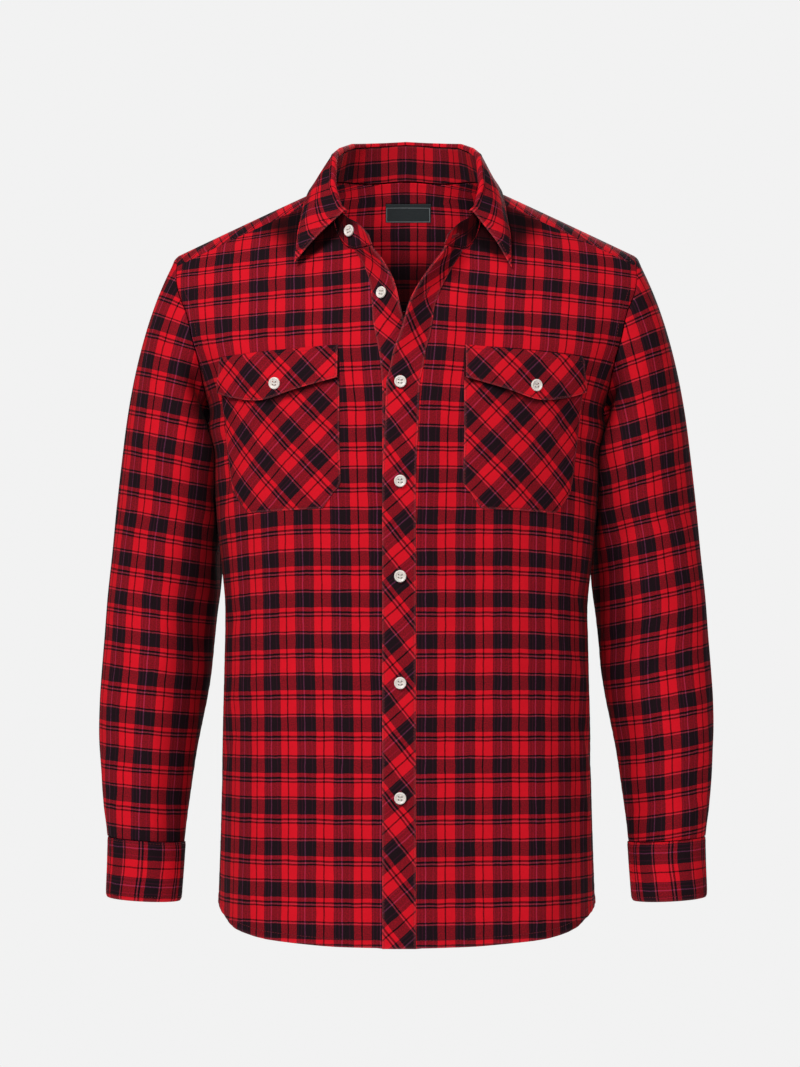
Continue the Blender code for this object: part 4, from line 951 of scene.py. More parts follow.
def make_lights():
    for name, x, y, z, to_y, to_z, size, watts in LIGHTS[1:]:
        lamp = bpy.data.lights.new(name, "AREA")
        lamp.shape = "DISK"
        lamp.size = size
        lamp.energy = watts
        holder = add_object(name, lamp)
        holder.location = (x, y, z)
        aim(holder, (0.0, to_y, to_z))
        holder.visible_camera = False
        if name == "neck":
            lamp.spread = math.radians(NECK_SPREAD)
    world = bpy.data.worlds.new("surround")
    t = Tree(world)
    seen = t.tree.nodes["Background"]
    t.put(seen, {"Color": (BACKDROP, BACKDROP, BACKDROP, 1.0), "Strength": 1.0})
    glow = t.add("ShaderNodeBackground", {"Color": (1.0, 1.0, 1.0, 1.0), "Strength": AMBIENT})
    ray = t.add("ShaderNodeLightPath").outputs["Is Camera Ray"]
    pick = t.add("ShaderNodeMixShader", {0: ray, 1: glow.outputs[0], 2: seen.outputs[0]})
    t.put(t.tree.nodes["World Output"], {"Surface": pick.outputs[0]})
    bpy.context.scene.world = world
    bpy.context.scene.view_settings.view_transform = "Standard"


# Materials

def linear(red, green, blue):
    """A screen colour of 0 to 255 as the linear colour that a shader takes."""
    def one(value):
        share = value / 255
        return share / 12.92 if share <= 0.04045 else ((share + 0.055) / 1.055) ** 2.4
    return one(red), one(green), one(blue), 1.0


YARNS = {
    "red": (206, 18, 34),
    "black": (24, 14, 19),
    "ink": (8, 2, 4),
    "mauve": (122, 50, 88),
    "wine": (66, 18, 40),
    "rose": (186, 48, 64),
}
WARP = (                     # stripes from left to right: width in millimetres, yarn
    (6.9, "red"), (1.4, "ink"), (8.9, "red"), (1.2, "black"), (0.9, "wine"), (2.6, "black"),
    (1.0, "wine"), (2.2, "black"), (1.2, "mauve"), (6.3, "black"), (0.9, "wine"), (3.7, "black"),
)
WEFT = (                     # and from the top down
    (13.5, "red"), (1.5, "ink"), (1.4, "rose"), (14.4, "black"), (4.0, "red"), (2.1, "ink"),
    (1.5, "rose"), (1.8, "ink"),
)
WARP_REPEAT = sum(width for width, _ in WARP) / 1000
WEFT_REPEAT = sum(width for width, _ in WEFT) / 1000
RED_MIDDLE = (0.0086, 0.0068)      # middle of a red square: warp and weft distances
BLACK_MIDDLE = (0.0278, 0.0237)    # middle of a dark one
TWILL = 0.0013               # from one rib of the twill to the next
WANDER = 0.0015              # how far the yarns stray
SCREEN_GAMMA = 2.2


class Tree:
    """Adds linked nodes to the world, or to a new material of the given name."""

    def __init__(self, owner):
        self.owner = bpy.data.materials.new(owner) if isinstance(owner, str) else owner
        self.owner.use_nodes = True
        self.tree = self.owner.node_tree

    def put(self, node, values):
        """Sets a node's inputs, each to a value or to another node's output."""
        for key, value in values.items():
            if hasattr(value, "is_output"):
                self.tree.links.new(value, node.inputs[key])
            else:
                node.inputs[key].default_value = value

    def add(self, kind, values=None, **settings):
        node = self.tree.nodes.new(kind)
        for key, value in settings.items():
            setattr(node, key, value)
        self.put(node, values or {})
        return node

    def math(self, operation, a, b=0.0, c=0.0, clamp=False):
        node = self.add("ShaderNodeMath", {0: a, 1: b, 2: c}, operation=operation, use_clamp=clamp)
        return node.outputs[0]

    def times(self, a, b, clamp=False):
        return self.math("MULTIPLY", a, b, clamp=clamp)

    def mix(self, factor, a, b, blend="MIX"):
        node = self.add("ShaderNodeMix", data_type="RGBA", blend_type=blend)
        self.put(node, {"Factor": factor, 6: a, 7: b})
        return node.outputs[2]

    def noise(self, vector, scale, detail=2.0, roughness=0.5):
        values = {"Vector": vector, "Scale": scale, "Detail": detail, "Roughness": roughness}
        return self.add("ShaderNodeTexNoise", values, noise_dimensions="3D").outputs["Fac"]

    def gamma(self, colour, value):
        return self.add("ShaderNodeGamma", {"Color": colour, "Gamma": value}).outputs[0]

    def grey(self, value):
        return self.add("ShaderNodeCombineColor", {0: value, 1: value, 2: value}).outputs[0]

    def mark(self, name):
        return self.add("ShaderNodeAttribute", attribute_name=name).outputs["Fac"]

    def place(self):
        return self.add("ShaderNodeTexCoord").outputs["Object"]

    def cloth(self):
        return self.add("ShaderNodeUVMap", uv_map="cloth").outputs["UV"]

    def split(self, vector):
        node = self.add("ShaderNodeSeparateXYZ", {0: vector})
        return node.outputs["X"], node.outputs["Y"]

    def wave(self, along, pitch):
        return self.math("SINE", self.times(along, 2 * math.pi / pitch))

    def stripes(self, along, table, repeat):
        """Stripes of yarn, repeated along a distance in metres."""
        share = self.math("FRACT", self.math("DIVIDE", along, repeat))
        node = self.add("ShaderNodeValToRGB", {"Fac": share})
        ramp = node.color_ramp
        ramp.interpolation = "CONSTANT"
        at = 0.0
        for number, (width, yarn) in enumerate(table):
            if number < 2:
                stop = ramp.elements[number]
                stop.position = at
            else:
                stop = ramp.elements.new(at)
            stop.color = linear(*YARNS[yarn])
            at += width / 1000 / repeat
        return node.outputs["Color"]

    def material(self, colour, bump, **looks):
        """Sets the shader, its inputs' names with _ for a space; bump: height, strength, distance."""
        shader = self.tree.nodes["Principled BSDF"]
        self.put(shader, {"Base Color": colour})
        self.put(shader, {name.replace("_", " "): value for name, value in looks.items()})
        if bump:
            values = dict(zip(("Height", "Strength", "Distance"), bump))
            self.put(shader, {"Normal": self.add("ShaderNodeBump", values).outputs["Normal"]})
        return self.owner


def flannel(name):
    """Yarn-dyed twill, brushed: stripes of warp and weft cross at every yarn."""
    t = Tree(name)
    cloth = t.cloth()
    wander = t.add("ShaderNodeTexNoise", noise_dimensions="2D")
    t.put(wander, {"Vector": cloth, "Scale": 55.0, "Detail": 3.0})
    offset = t.add("ShaderNodeVectorMath", operation="MULTIPLY_ADD")
    t.put(offset, {0: wander.outputs["Color"], 1: (WANDER, WANDER, 0.0),
                   2: (-WANDER / 2, -WANDER / 2, 0.0)})
    moved = t.add("ShaderNodeVectorMath", operation="ADD")
    t.put(moved, {0: cloth, 1: offset.outputs[0]})
    moved = moved.outputs[0]
    x, y = t.split(moved)
    warp = t.stripes(x, WARP, WARP_REPEAT)
    weft = t.stripes(y, WEFT, WEFT_REPEAT)
    # the twill's ribs run diagonally; on each rib the warp lies on top, between them the weft
    rib = t.wave(t.math("ADD", x, y), TWILL)
    speck = t.noise(moved, 900.0, 2.0, 0.7)
    cover = t.math("MULTIPLY_ADD", rib, 0.22, 0.5)
    cover = t.math("ADD", cover, t.math("MULTIPLY_ADD", speck, 0.9, -0.45), clamp=True)
    cross = t.mix(cover, t.gamma(weft, 1 / SCREEN_GAMMA), t.gamma(warp, 1 / SCREEN_GAMMA))
    colour = t.gamma(cross, SCREEN_GAMMA)
    # brushed fibres blur the yarns, and dye takes unevenly
    uneven = t.math("MULTIPLY_ADD", t.noise(cloth, 28.0, 3.0, 0.6), 0.24, 0.88)
    colour = t.mix(1.0, colour, t.grey(uneven), "MULTIPLY")
    fuzz = t.noise(moved, 2600.0, 1.0, 0.5)
    haze = t.times(t.math("SUBTRACT", fuzz, 0.45, clamp=True), 0.06)
    colour = t.mix(haze, colour, linear(190, 90, 104))
    # rubbed along the edges, which are also painted lighter as a painted highlight; painted shade in
    # the seams and stitch lines, and deeper painted shade in the hollows
    rub_and_highlight = t.times(t.times(t.mark("edge"), fuzz), 0.22)
    colour = t.mix(rub_and_highlight, colour, linear(214, 110, 116))
    # painted shade along the seams and stitch lines
    colour = t.mix(t.times(t.mark("seam"), 0.40, clamp=True), colour, linear(14, 8, 10))
    # painted shade under the collar and flaps, beside the sleeves and inside the shirt
    colour = t.mix(t.times(t.mark("hollow"), 0.92, clamp=True), colour, linear(10, 2, 4))
    height = t.math("ADD", t.times(rib, 0.35), t.times(fuzz, 0.9))
    height = t.math("ADD", height, t.times(speck, 0.8))
    return t.material(colour, (height, 0.35, 0.00035), Roughness=0.86, Specular_IOR_Level=0.06,
                      Sheen_Weight=0.015, Sheen_Roughness=0.45, Sheen_Tint=(1.0, 0.72, 0.72, 1.0))


def thread(name, colour):
    """Spun sewing thread, its plies showing as fine slanted lines."""
    t = Tree(name)
    ply = t.add("ShaderNodeTexWave", wave_type="BANDS", bands_direction="DIAGONAL")
    t.put(ply, {"Vector": t.place(), "Scale": 900.0, "Distortion": 1.5})
    shade = t.math("MULTIPLY_ADD", ply.outputs["Fac"], 0.35, 0.75)
    tint = t.mix(1.0, linear(*colour), t.grey(shade), "MULTIPLY")
    return t.material(tint, (ply.outputs["Fac"], 0.3, 0.0001), Roughness=0.55,
                      Specular_IOR_Level=0.3)


def shell_button(name):
    """Pale moulded resin with soft clouds in it and a polished face."""
    t = Tree(name)
    place = t.place()
    cloud = t.noise(place, 160.0, 3.0, 0.55)
    grain = t.noise(place, 1400.0, 2.0, 0.6)
    tint = t.mix(t.math("MULTIPLY_ADD", cloud, 1.6, -0.3, clamp=True),
                 linear(214, 204, 196), linear(238, 231, 225))
    tint = t.mix(t.times(grain, 0.10), tint, linear(176, 160, 150))
    # darker inside the holes and round the dish, where the mesh is marked
    tint = t.mix(t.times(t.mark("seam"), 0.85, clamp=True), tint, linear(96, 84, 80))
    rough = t.math("MULTIPLY_ADD", grain, 0.20, 0.26)
    return t.material(tint, (cloud, 0.12, 0.0002), Roughness=rough, Coat_Weight=0.25,
                      Coat_Roughness=0.18, Subsurface_Weight=0.08,
                      Subsurface_Radius=(0.004, 0.003, 0.002))


LABEL_BORDER = 0.0011        # from the label's edge to its woven line
LABEL_LINE = 0.0005


def woven_label(name):
    """A black damask label, bare, with one fine grey line woven round it."""
    t = Tree(name)
    cloth = t.cloth()
    x, y = t.split(cloth)
    inset = []
    for along, size in ((x, LABEL_WIDTH), (y, LABEL_TOP - LABEL_BOTTOM)):
        middle = t.math("SUBTRACT", along, size / 2)
        inset.append(t.math("SUBTRACT", size / 2, t.math("ABSOLUTE", middle)))
    nearest = t.math("MINIMUM", *inset)
    off_line = t.math("ABSOLUTE", t.math("SUBTRACT", nearest, LABEL_BORDER))
    line = t.math("LESS_THAN", off_line, LABEL_LINE / 2)
    weave = t.times(t.wave(x, 0.00045), t.wave(y, 0.00032))
    ground = t.mix(t.math("MULTIPLY_ADD", weave, 0.35, 0.5), linear(10, 15, 17), linear(30, 38, 40))
    ground = t.mix(t.times(t.noise(cloth, 420.0), 0.3), ground, linear(44, 48, 50))
    tint = t.mix(t.times(line, 0.8), ground, linear(124, 130, 132))
    return t.material(tint, (weave, 0.35, 0.00012), Roughness=0.5, Specular_IOR_Level=0.18,
                      Sheen_Weight=0.04)


# Creases that the solids leave out: soft troughs (minus) and ridges, placed one by one. A crease
# is narrower on one side than the other by its skew, and bend curves it along its length.

TORSO_CREASES = (
    ("half", "s", "z", "length", "width", "lean", "bend", "skew", "push"),
    # from the armpits across the chest
    (-1, -0.176, -0.246, 0.130, 0.0085, 62, 1.2, 0.3, -0.0016),
    (-1, -0.182, -0.286, 0.150, 0.0100, 50, 0.8, -0.2, -0.0019),
    (-1, -0.196, -0.330, 0.110, 0.0090, 38, 1.0, 0.2, 0.0013),
    (-1, 0.180, -0.250, 0.140, 0.0090, -60, -1.2, 0.3, -0.0017),
    (-1, 0.184, -0.296, 0.150, 0.0105, -46, -0.8, 0.2, -0.0021),
    (-1, 0.200, -0.345, 0.120, 0.0090, -35, -1.2, -0.2, 0.0014),
    # round the waist and the sides
    (-1, -0.205, -0.430, 0.110, 0.0110, 70, 1.4, 0.2, -0.0014),
    (-1, -0.188, -0.505, 0.130, 0.0120, 62, 0.9, -0.3, 0.0014),
    (-1, -0.212, -0.560, 0.120, 0.0100, 48, 1.6, 0.2, -0.0015),
    (-1, 0.208, -0.410, 0.120, 0.0110, -66, -1.1, 0.3, -0.0017),
    (-1, 0.190, -0.478, 0.150, 0.0120, -58, -1.5, -0.2, 0.0015),
    (-1, 0.214, -0.545, 0.130, 0.0100, -50, -0.8, 0.2, -0.0020),
    (-1, 0.196, -0.600, 0.110, 0.0100, -38, -1.0, 0.2, 0.0015),
    # long soft falls towards the hem
    (-1, -0.112, -0.650, 0.220, 0.0140, 6, 0.4, 0.2, -0.0013),
    (-1, -0.052, -0.640, 0.190, 0.0150, -3, 0.3, -0.2, 0.0012),
    (-1, -0.160, -0.690, 0.150, 0.0120, 10, 0.7, 0.2, 0.0015),
    (-1, 0.060, -0.655, 0.200, 0.0150, 4, -0.5, 0.2, -0.0012),
    (-1, 0.118, -0.670, 0.210, 0.0140, -5, -0.4, -0.2, 0.0014),
    (-1, 0.160, -0.700, 0.150, 0.0120, -11, -0.8, 0.2, -0.0014),
    # by the open neck and along the closing
    (-1, -0.064, -0.150, 0.120, 0.0120, -24, 0.8, 0.2, 0.0010),
    (-1, 0.076, -0.148, 0.130, 0.0120, 26, -0.9, -0.2, 0.0011),
    (-1, 0.052, -0.240, 0.060, 0.0090, 80, 0.8, 0.0, -0.0008),
    (-1, -0.046, -0.338, 0.060, 0.0090, 96, 0.8, 0.0, -0.0008),
    (-1, 0.048, -0.435, 0.070, 0.0090, 84, 0.8, 0.0, -0.0007),
    (-1, -0.050, -0.545, 0.070, 0.0100, 95, 0.8, 0.0, -0.0008),
    # the back
    (1, -0.120, -0.200, 0.180, 0.0130, 34, 0.9, 0.2, -0.0022),
    (1, -0.168, -0.262, 0.170, 0.0110, 46, 1.1, -0.2, -0.0024),
    (1, -0.192, -0.318, 0.140, 0.0100, 40, 1.3, 0.2, 0.0018),
    (1, 0.128, -0.205, 0.170, 0.0130, -36, -1.0, 0.2, -0.0020),
    (1, 0.172, -0.270, 0.180, 0.0110, -48, -0.9, -0.2, -0.0025),
    (1, 0.196, -0.330, 0.130, 0.0100, -42, -1.2, 0.2, 0.0017),
    (1, -0.030, -0.300, 0.240, 0.0150, 4, 0.3, 0.2, -0.0016),
    (1, 0.046, -0.330, 0.260, 0.0150, -5, -0.4, -0.2, -0.0018),
    (1, -0.075, -0.420, 0.130, 0.0120, 72, 0.8, 0.2, -0.0017),
    (1, 0.020, -0.440, 0.150, 0.0120, 95, 0.9, -0.2, -0.0019),
    (1, 0.088, -0.470, 0.140, 0.0120, 106, -0.8, 0.2, -0.0016),
    (1, -0.030, -0.490, 0.140, 0.0120, 84, -0.7, 0.2, 0.0016),
    (1, -0.150, -0.500, 0.150, 0.0110, 58, 1.2, 0.2, -0.0018),
    (1, 0.156, -0.520, 0.150, 0.0110, -60, -1.2, 0.2, -0.0019),
    (1, -0.140, -0.660, 0.200, 0.0140, 6, 0.5, 0.2, 0.0018),
    (1, -0.060, -0.670, 0.190, 0.0140, -3, 0.4, -0.2, -0.0016),
    (1, 0.050, -0.680, 0.180, 0.0140, 4, -0.4, 0.2, 0.0015),
    (1, 0.134, -0.665, 0.200, 0.0140, -6, -0.6, 0.2, -0.0017),
)
SLEEVE_CREASES = (
    ("side", "angle", "z", "length", "width", "lean", "bend", "skew", "push"),
    (-1, 150, -0.300, 0.110, 0.0085, 128, 1.2, 0.2, -0.0018),
    (-1, 120, -0.330, 0.120, 0.0090, 118, 0.9, -0.2, -0.0015),
    (-1, 95, -0.430, 0.100, 0.0080, 112, 1.4, 0.2, -0.0021),
    (-1, 125, -0.462, 0.090, 0.0080, 126, 1.2, 0.2, -0.0020),
    (-1, 70, -0.468, 0.080, 0.0085, 100, 0.8, -0.2, 0.0014),
    (-1, 150, -0.500, 0.080, 0.0080, 134, 1.0, 0.2, -0.0016),
    (-1, 50, -0.600, 0.080, 0.0080, 66, -1.0, 0.2, -0.0014),
    (-1, 100, -0.622, 0.070, 0.0075, 150, 1.0, 0.2, -0.0014),
    (-1, 20, -0.560, 0.100, 0.0100, 20, 0.6, 0.2, -0.0012),
    (-1, 210, -0.330, 0.110, 0.0090, 60, -1.0, 0.2, -0.0020),
    (-1, 240, -0.410, 0.110, 0.0085, 62, -1.2, 0.2, -0.0024),
    (-1, 262, -0.450, 0.100, 0.0085, 72, -1.0, -0.2, -0.0020),
    (-1, 285, -0.400, 0.090, 0.0090, 80, -0.8, 0.2, 0.0015),
    (-1, 300, -0.560, 0.110, 0.0095, 104, 0.9, 0.2, -0.0017),
    (-1, 250, -0.600, 0.090, 0.0085, 40, 0.9, 0.2, -0.0017),
    (-1, 330, -0.480, 0.130, 0.0110, 12, 0.5, 0.2, 0.0013),
    (1, 148, -0.305, 0.110, 0.0085, 126, 1.2, 0.2, -0.0018),
    (1, 115, -0.345, 0.110, 0.0090, 118, 0.9, -0.2, -0.0013),
    (1, 105, -0.478, 0.110, 0.0080, 114, 1.3, 0.2, -0.0018),
    (1, 138, -0.440, 0.090, 0.0080, 126, 1.2, 0.2, -0.0017),
    (1, 60, -0.520, 0.090, 0.0090, 98, 0.7, -0.2, 0.0012),
    (1, 145, -0.545, 0.080, 0.0080, 134, 1.0, 0.2, -0.0015),
    (1, 46, -0.606, 0.080, 0.0080, 64, -1.0, 0.2, -0.0014),
    (1, 98, -0.626, 0.070, 0.0075, 148, 1.0, 0.2, -0.0013),
    (1, 15, -0.540, 0.110, 0.0100, 18, 0.6, 0.2, -0.0012),
    (1, 212, -0.325, 0.110, 0.0090, 58, -1.0, 0.2, -0.0020),
    (1, 238, -0.405, 0.110, 0.0085, 64, -1.2, 0.2, -0.0023),
    (1, 264, -0.462, 0.100, 0.0085, 74, -1.0, -0.2, -0.0020),
    (1, 288, -0.415, 0.090, 0.0090, 82, -0.8, 0.2, 0.0015),
    (1, 305, -0.570, 0.110, 0.0095, 102, 0.9, 0.2, -0.0017),
    (1, 252, -0.596, 0.090, 0.0085, 42, 0.9, 0.2, -0.0016),
    (1, 335, -0.470, 0.130, 0.0110, 10, 0.5, 0.2, 0.0013),
)


def torso_creases(at, half):
    tau = tau_of(at.x, at.z)
    return fold_push(TORSO_CREASES, half, lambda row: tau * FLAT_HALF - row["s"], at.z)


def sleeve_creases(angle, level, side):
    radius = (sleeve_wide(level) + sleeve_deep(level)) / 2
    return fold_push(SLEEVE_CREASES, side, round_arm(angle, radius), level)


# Distances over the cloth, by which the plaid is laid on

LENGTH_STEPS = 48
PLAID_LEVEL = -0.344         # height of a red weft stripe's upper edge, over the whole torso
PLAID_REACH = 0.150          # beyond this the rows keep the slope that they have there
ROWS = (
    ("z", "slope", "lift", "side"),   # the fronts' rows: fall per distance across, lift, and
    (-0.745, 0.000, 0.000, 0.0015),   # fall beside the sleeve
    (-0.660, 0.000, 0.000, 0.0020),
    (-0.560, 0.000, 0.000, 0.0030),
    (-0.420, 0.000, 0.000, 0.0060),
    (-0.340, 0.000, 0.000, 0.0080),
    (-0.260, 0.015, 0.000, 0.0080),
    (-0.200, 0.050, 0.000, 0.0040),
    (-0.133, 0.085, 0.003, 0.0000),
    (-0.094, 0.120, 0.008, 0.0000),
    (0.000, 0.170, 0.012, 0.0000),
)
ROW_SIDE = (0.085, 0.168)    # the fall beside the sleeve starts and is whole at these |x|
row_slope, row_lift, row_side = curves(ROWS)
COLUMNS = (
    ("z", "right", "left"),   # how far each front's columns lie aside: the open edges draw them out
    (-0.745, 0.0030, 0.0000),
    (-0.560, 0.0030, -0.0005),
    (-0.450, 0.0010, 0.0000),
    (-0.350, 0.0000, 0.0000),
    (-0.287, -0.0015, 0.0015),
    (-0.228, -0.0030, 0.0030),
    (-0.151, -0.0080, 0.0100),
    (-0.115, -0.0080, 0.0120),
    (-0.080, -0.0085, 0.0150),
    (0.020, -0.0085, 0.0170),
)


def across_length(x, z, half):
    """Distance over the torso from its middle line, level with a point, to the point."""
    share = np.linspace(0, 1, LENGTH_STEPS)
    line = np.asarray(x)[..., None] * share
    level = np.asarray(z)[..., None] + np.zeros_like(line)
    deep = torso_depth(line, level, half)
    step = np.hypot(np.diff(line, axis=-1), np.diff(deep, axis=-1))
    return np.sign(x) * step.sum(axis=-1)


def down_length(x, z, half):
    """Distance over the torso from the plaid's level down to a point (negative above it)."""
    share = np.linspace(0, 1, LENGTH_STEPS)
    level = PLAID_LEVEL + (np.asarray(z)[..., None] - PLAID_LEVEL) * share
    line = np.clip(np.abs(x), 0, PLAID_REACH)[..., None] + np.zeros_like(level)
    deep = torso_depth(line, level, half)
    step = np.hypot(np.diff(level, axis=-1), np.diff(deep, axis=-1))
    return np.sign(PLAID_LEVEL - z) * step.sum(axis=-1)


def torso_plaid(at, half, start):
    """Warp and weft distances on a straight-cut panel of the torso."""
    across = across_length(at.x, at.z, half)
    down = down_length(at.x, at.z, half)
    if half < 0:
        beside = np.clip((np.abs(at.x) - ROW_SIDE[0]) / (ROW_SIDE[1] - ROW_SIDE[0]), 0, 1.5)
        fall = row_side(at.z) * beside ** 2
        down = down - row_slope(at.z) * np.abs(across) + row_lift(at.z) - fall
    return across - start, down


def bias(right, down, turn, origin):
    """Cloth turned clockwise: its warp and weft distances at a place on a piece."""
    turn = math.radians(turn)
    right = right - origin[0]
    down = down - origin[1]
    warp = right * math.cos(turn) + down * math.sin(turn)
    weft = -right * math.sin(turn) + down * math.cos(turn)
    return warp + origin[2], weft + origin[3]


# Shells

SINGLE = 0.0010              # one layer of the shell
EDGE_ROLL = 0.0009           # within this of a border a shell rounds over
EDGE_RUB_AND_HIGHLIGHT = 0.0016           # and within this it is rubbed, and painted lighter as a painted highlight
SEAM_DIP = 0.00035
SEAM_REACH = 0.0022
# width of the painted shade along a seam
SEAM_DARK = 0.00045
SEAM_PUCKER = 0.00030
STITCH_DIP = 0.00028
STITCH_REACH = 0.0009
STITCH_PUCKER = 0.00016
STITCH_PITCH = 0.0030
STITCH_LENGTH = 0.0023
STITCH_RADIUS = 0.00021
BORDERS = ("start", "end", "low", "high")   # the first and last column, the first and last row
BORDER_LINES = (0.00020, 0.00050, 0.0010, 0.0018)


def bell(distance, width):
    return np.exp(-(distance / width) ** 2)


def cell_lines(count, per_cell, cell, marks=()):
    """Lines from 0 to count, per_cell to a cell, with more at real distances from both ends."""
    even = np.linspace(0, count, int(round(count * per_cell)) + 1)
    near = np.array(sorted(set(BORDER_LINES) | set(marks)))
    extra = np.concatenate([near / cell[0], count - near / cell[1]])
    spare = 0.35 / per_cell
    kept = [line for line in even
            if line in (0.0, float(count)) or np.min(np.abs(extra - line)) > spare]
    return np.unique(np.concatenate([kept, extra, [0.0, count]]))


def runs(points, axis):
    """Distance along an axis of a grid of points, from its start and from its end."""
    step = np.linalg.norm(np.diff(points, axis=axis), axis=-1)
    zero = np.zeros_like(np.take(step, [0], axis=axis))
    run = np.concatenate([zero, np.cumsum(step, axis=axis)], axis=axis)
    return run, np.take(run, [-1], axis=axis) - run


def ripple(along, wave, phase):
    """An uneven wave along a seam, never quite repeating."""
    return (np.sin(2 * math.pi * along / wave + phase)
            + 0.6 * np.sin(2 * math.pi * along / (wave * 1.618) + 1.7 * phase)
            + 0.4 * np.sin(2 * math.pi * along / (wave * 0.53) + 0.4 * phase)) / 2


class Places:
    """A shell's points and cells, and how far each point lies from the four borders."""

    def __init__(self, point, i, j):
        self.point = point
        self.x, self.y, self.z = point[..., 0], point[..., 1], point[..., 2]
        self.i, self.j = i, j
        self.start, self.end = runs(point, 1)
        self.low, self.high = runs(point, 0)

    def cell_beside(self, border):
        return self.j if border in ("start", "end") else self.i

    def run_beside(self, border):
        return self.low if border in ("start", "end") else self.start


def dress(node, grid, i, j, facing, columns, rows, plaid, borders, out=0.0, thickness=SINGLE,
          relief=None, hollow=None, stitches=()):
    """A shell on one solid's surface, with its seams, edges and stitching.

    borders says of each border, in the order of BORDERS, whether it is an edge, a seam or a blend;
    stitches gives lines of stitching, each along one border at a distance from it, and where it
    doesn't run the whole way, its first and last cell line."""
    name = f"cloth_{node}"
    across, along = np.meshgrid(i, j)
    point, normal = sample(grid, across, along, facing, columns, rows)
    at = Places(point, across, along)
    u, v = plaid(at)
    push = np.zeros(u.shape) if relief is None else relief(at)
    # deep is the painted shade, from 0 to 1
    deep = np.zeros(u.shape) if hollow is None else hollow(at)
    roll = np.zeros(u.shape)
    seam = np.zeros(u.shape)
    edge = np.zeros(u.shape)
    for border, kind in zip(BORDERS, borders.split()):
        distance = getattr(at, border)
        bend = np.clip(1 - distance / EDGE_ROLL, 0, 1)
        roll = np.maximum(roll, 1 - np.sqrt(1 - bend ** 2))
        if kind == "seam":
            push = push - SEAM_DIP * bell(distance, SEAM_REACH)
            pucker = ripple(at.run_beside(border), 0.0105, len(name))
            push = push + SEAM_PUCKER * pucker * np.exp(-distance / 0.0065)
            # painted shade along the seam's groove
            seam = np.maximum(seam, bell(distance, SEAM_DARK))
        elif kind == "edge":
            # edges painted lighter: rubbing, and a painted highlight on the rolled edge
            edge = np.maximum(edge, bell(distance, EDGE_RUB_AND_HIGHLIGHT))
    for border, distance, *ends in stitches:
        offset = getattr(at, border) - distance
        if ends:
            cell = at.cell_beside(border)
            offset = np.where((cell >= ends[0]) & (cell <= ends[1]), offset, 1.0)
        push = push - STITCH_DIP * bell(offset, STITCH_REACH)
        pucker = ripple(at.run_beside(border), 0.0085, 2.0 + len(name))
        push = push + STITCH_PUCKER * pucker * bell(offset, 0.0030)
        # painted shade along the stitching's groove
        seam = np.maximum(seam, 0.35 * bell(offset, 0.0006))
    middle = point + normal * (out + push - thickness / 2)[..., None]
    half = thickness / 2 * (1 - 0.86 * roll)
    outer = middle + normal * half[..., None]
    inner = middle - normal * half[..., None]
    # the seam mark and the last mark carry painted shade; the edge mark carries rubbing and a painted
    # highlight
    marks = {"seam": seam, "edge": edge, "hollow": deep}
    material = MATERIALS["label" if node == "neck_label" else "flannel"]
    piece = shell_mesh(name, outer, inner, facing, material, u, v, marks)
    lines = [inset_line(outer, normal, at, line, stitches) for line in stitches]
    lines = [line for line in lines if line is not None]
    sewing = stitch_mesh(f"stitches_{name}", lines) if lines else None
    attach(piece, "root")
    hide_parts(node)
    if sewing:
        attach(sewing, "root")


def shell_mesh(name, outer, inner, facing, material, u, v, marks):
    rows, columns = outer.shape[:2]
    count = rows * columns
    index = np.arange(count).reshape(rows, columns)
    a, b = index[:-1, :-1].ravel(), index[:-1, 1:].ravel()
    c, d = index[1:, 1:].ravel(), index[1:, :-1].ravel()
    faces = [np.stack([a, b, c, d], axis=1), np.stack([a, d, c, b], axis=1) + count]
    ring = np.concatenate([index[0, :], index[1:, -1], index[-1, -2::-1], index[-2:0:-1, 0]])
    after = np.roll(ring, -1)
    faces.append(np.stack([after, ring, ring + count, after + count], axis=1))
    faces = np.concatenate(faces)
    if facing < 0:
        faces = faces[:, ::-1]
    points = np.concatenate([outer.reshape(-1, 3), inner.reshape(-1, 3)])
    mesh = bpy.data.meshes.new(name)
    mesh.vertices.add(len(points))
    mesh.vertices.foreach_set("co", points.ravel())
    mesh.loops.add(faces.size)
    mesh.loops.foreach_set("vertex_index", faces.ravel())
    mesh.polygons.add(len(faces))
    mesh.polygons.foreach_set("loop_start", np.arange(0, faces.size, 4))
    mesh.update(calc_edges=True)
    mesh.validate()
    layer = mesh.uv_layers.new(name="cloth")
    flat = np.stack([np.tile(u.ravel(), 2), np.tile(v.ravel(), 2)], axis=1)
    layer.uv.foreach_set("vector", flat[faces.ravel()].ravel())
    for mark, values in marks.items():
        attribute = mesh.attributes.new(mark, "FLOAT", "POINT")
        both = values if values.ndim == 3 else np.stack([values, values])
        attribute.data.foreach_set("value", both.ravel())
    mesh.shade_smooth()
    mesh.materials.append(material)
    return add_object(name, mesh)


def raw_mesh(name, points, faces, material):
    mesh = bpy.data.meshes.new(name)
    mesh.from_pydata([tuple(map(float, p)) for p in points], [], faces)
    mesh.shade_smooth()
    mesh.materials.append(material)
    return add_object(name, mesh)


def skin(first, rings, sides, corners="aABb"):
    """Faces between rings of points, each face's corners in the order given: A lies above a."""
    faces = []
    for ring in range(rings - 1):
        for k in range(sides):
            a = first + ring * sides + k
            b = first + ring * sides + (k + 1) % sides
            around = {"a": a, "b": b, "A": a + sides, "B": b + sides}
            faces.append([around[corner] for corner in corners])
    return faces


def lids(near, far, sides):
    """Faces that close two rings of points, the first facing one way and the second the other."""
    return [[near + k for k in range(sides)], [far + k for k in reversed(range(sides))]]


def pick(at, run, table):
    """The three columns of a table at a distance along its run."""
    return np.array([np.interp(at, run, table[:, c]) for c in range(3)])


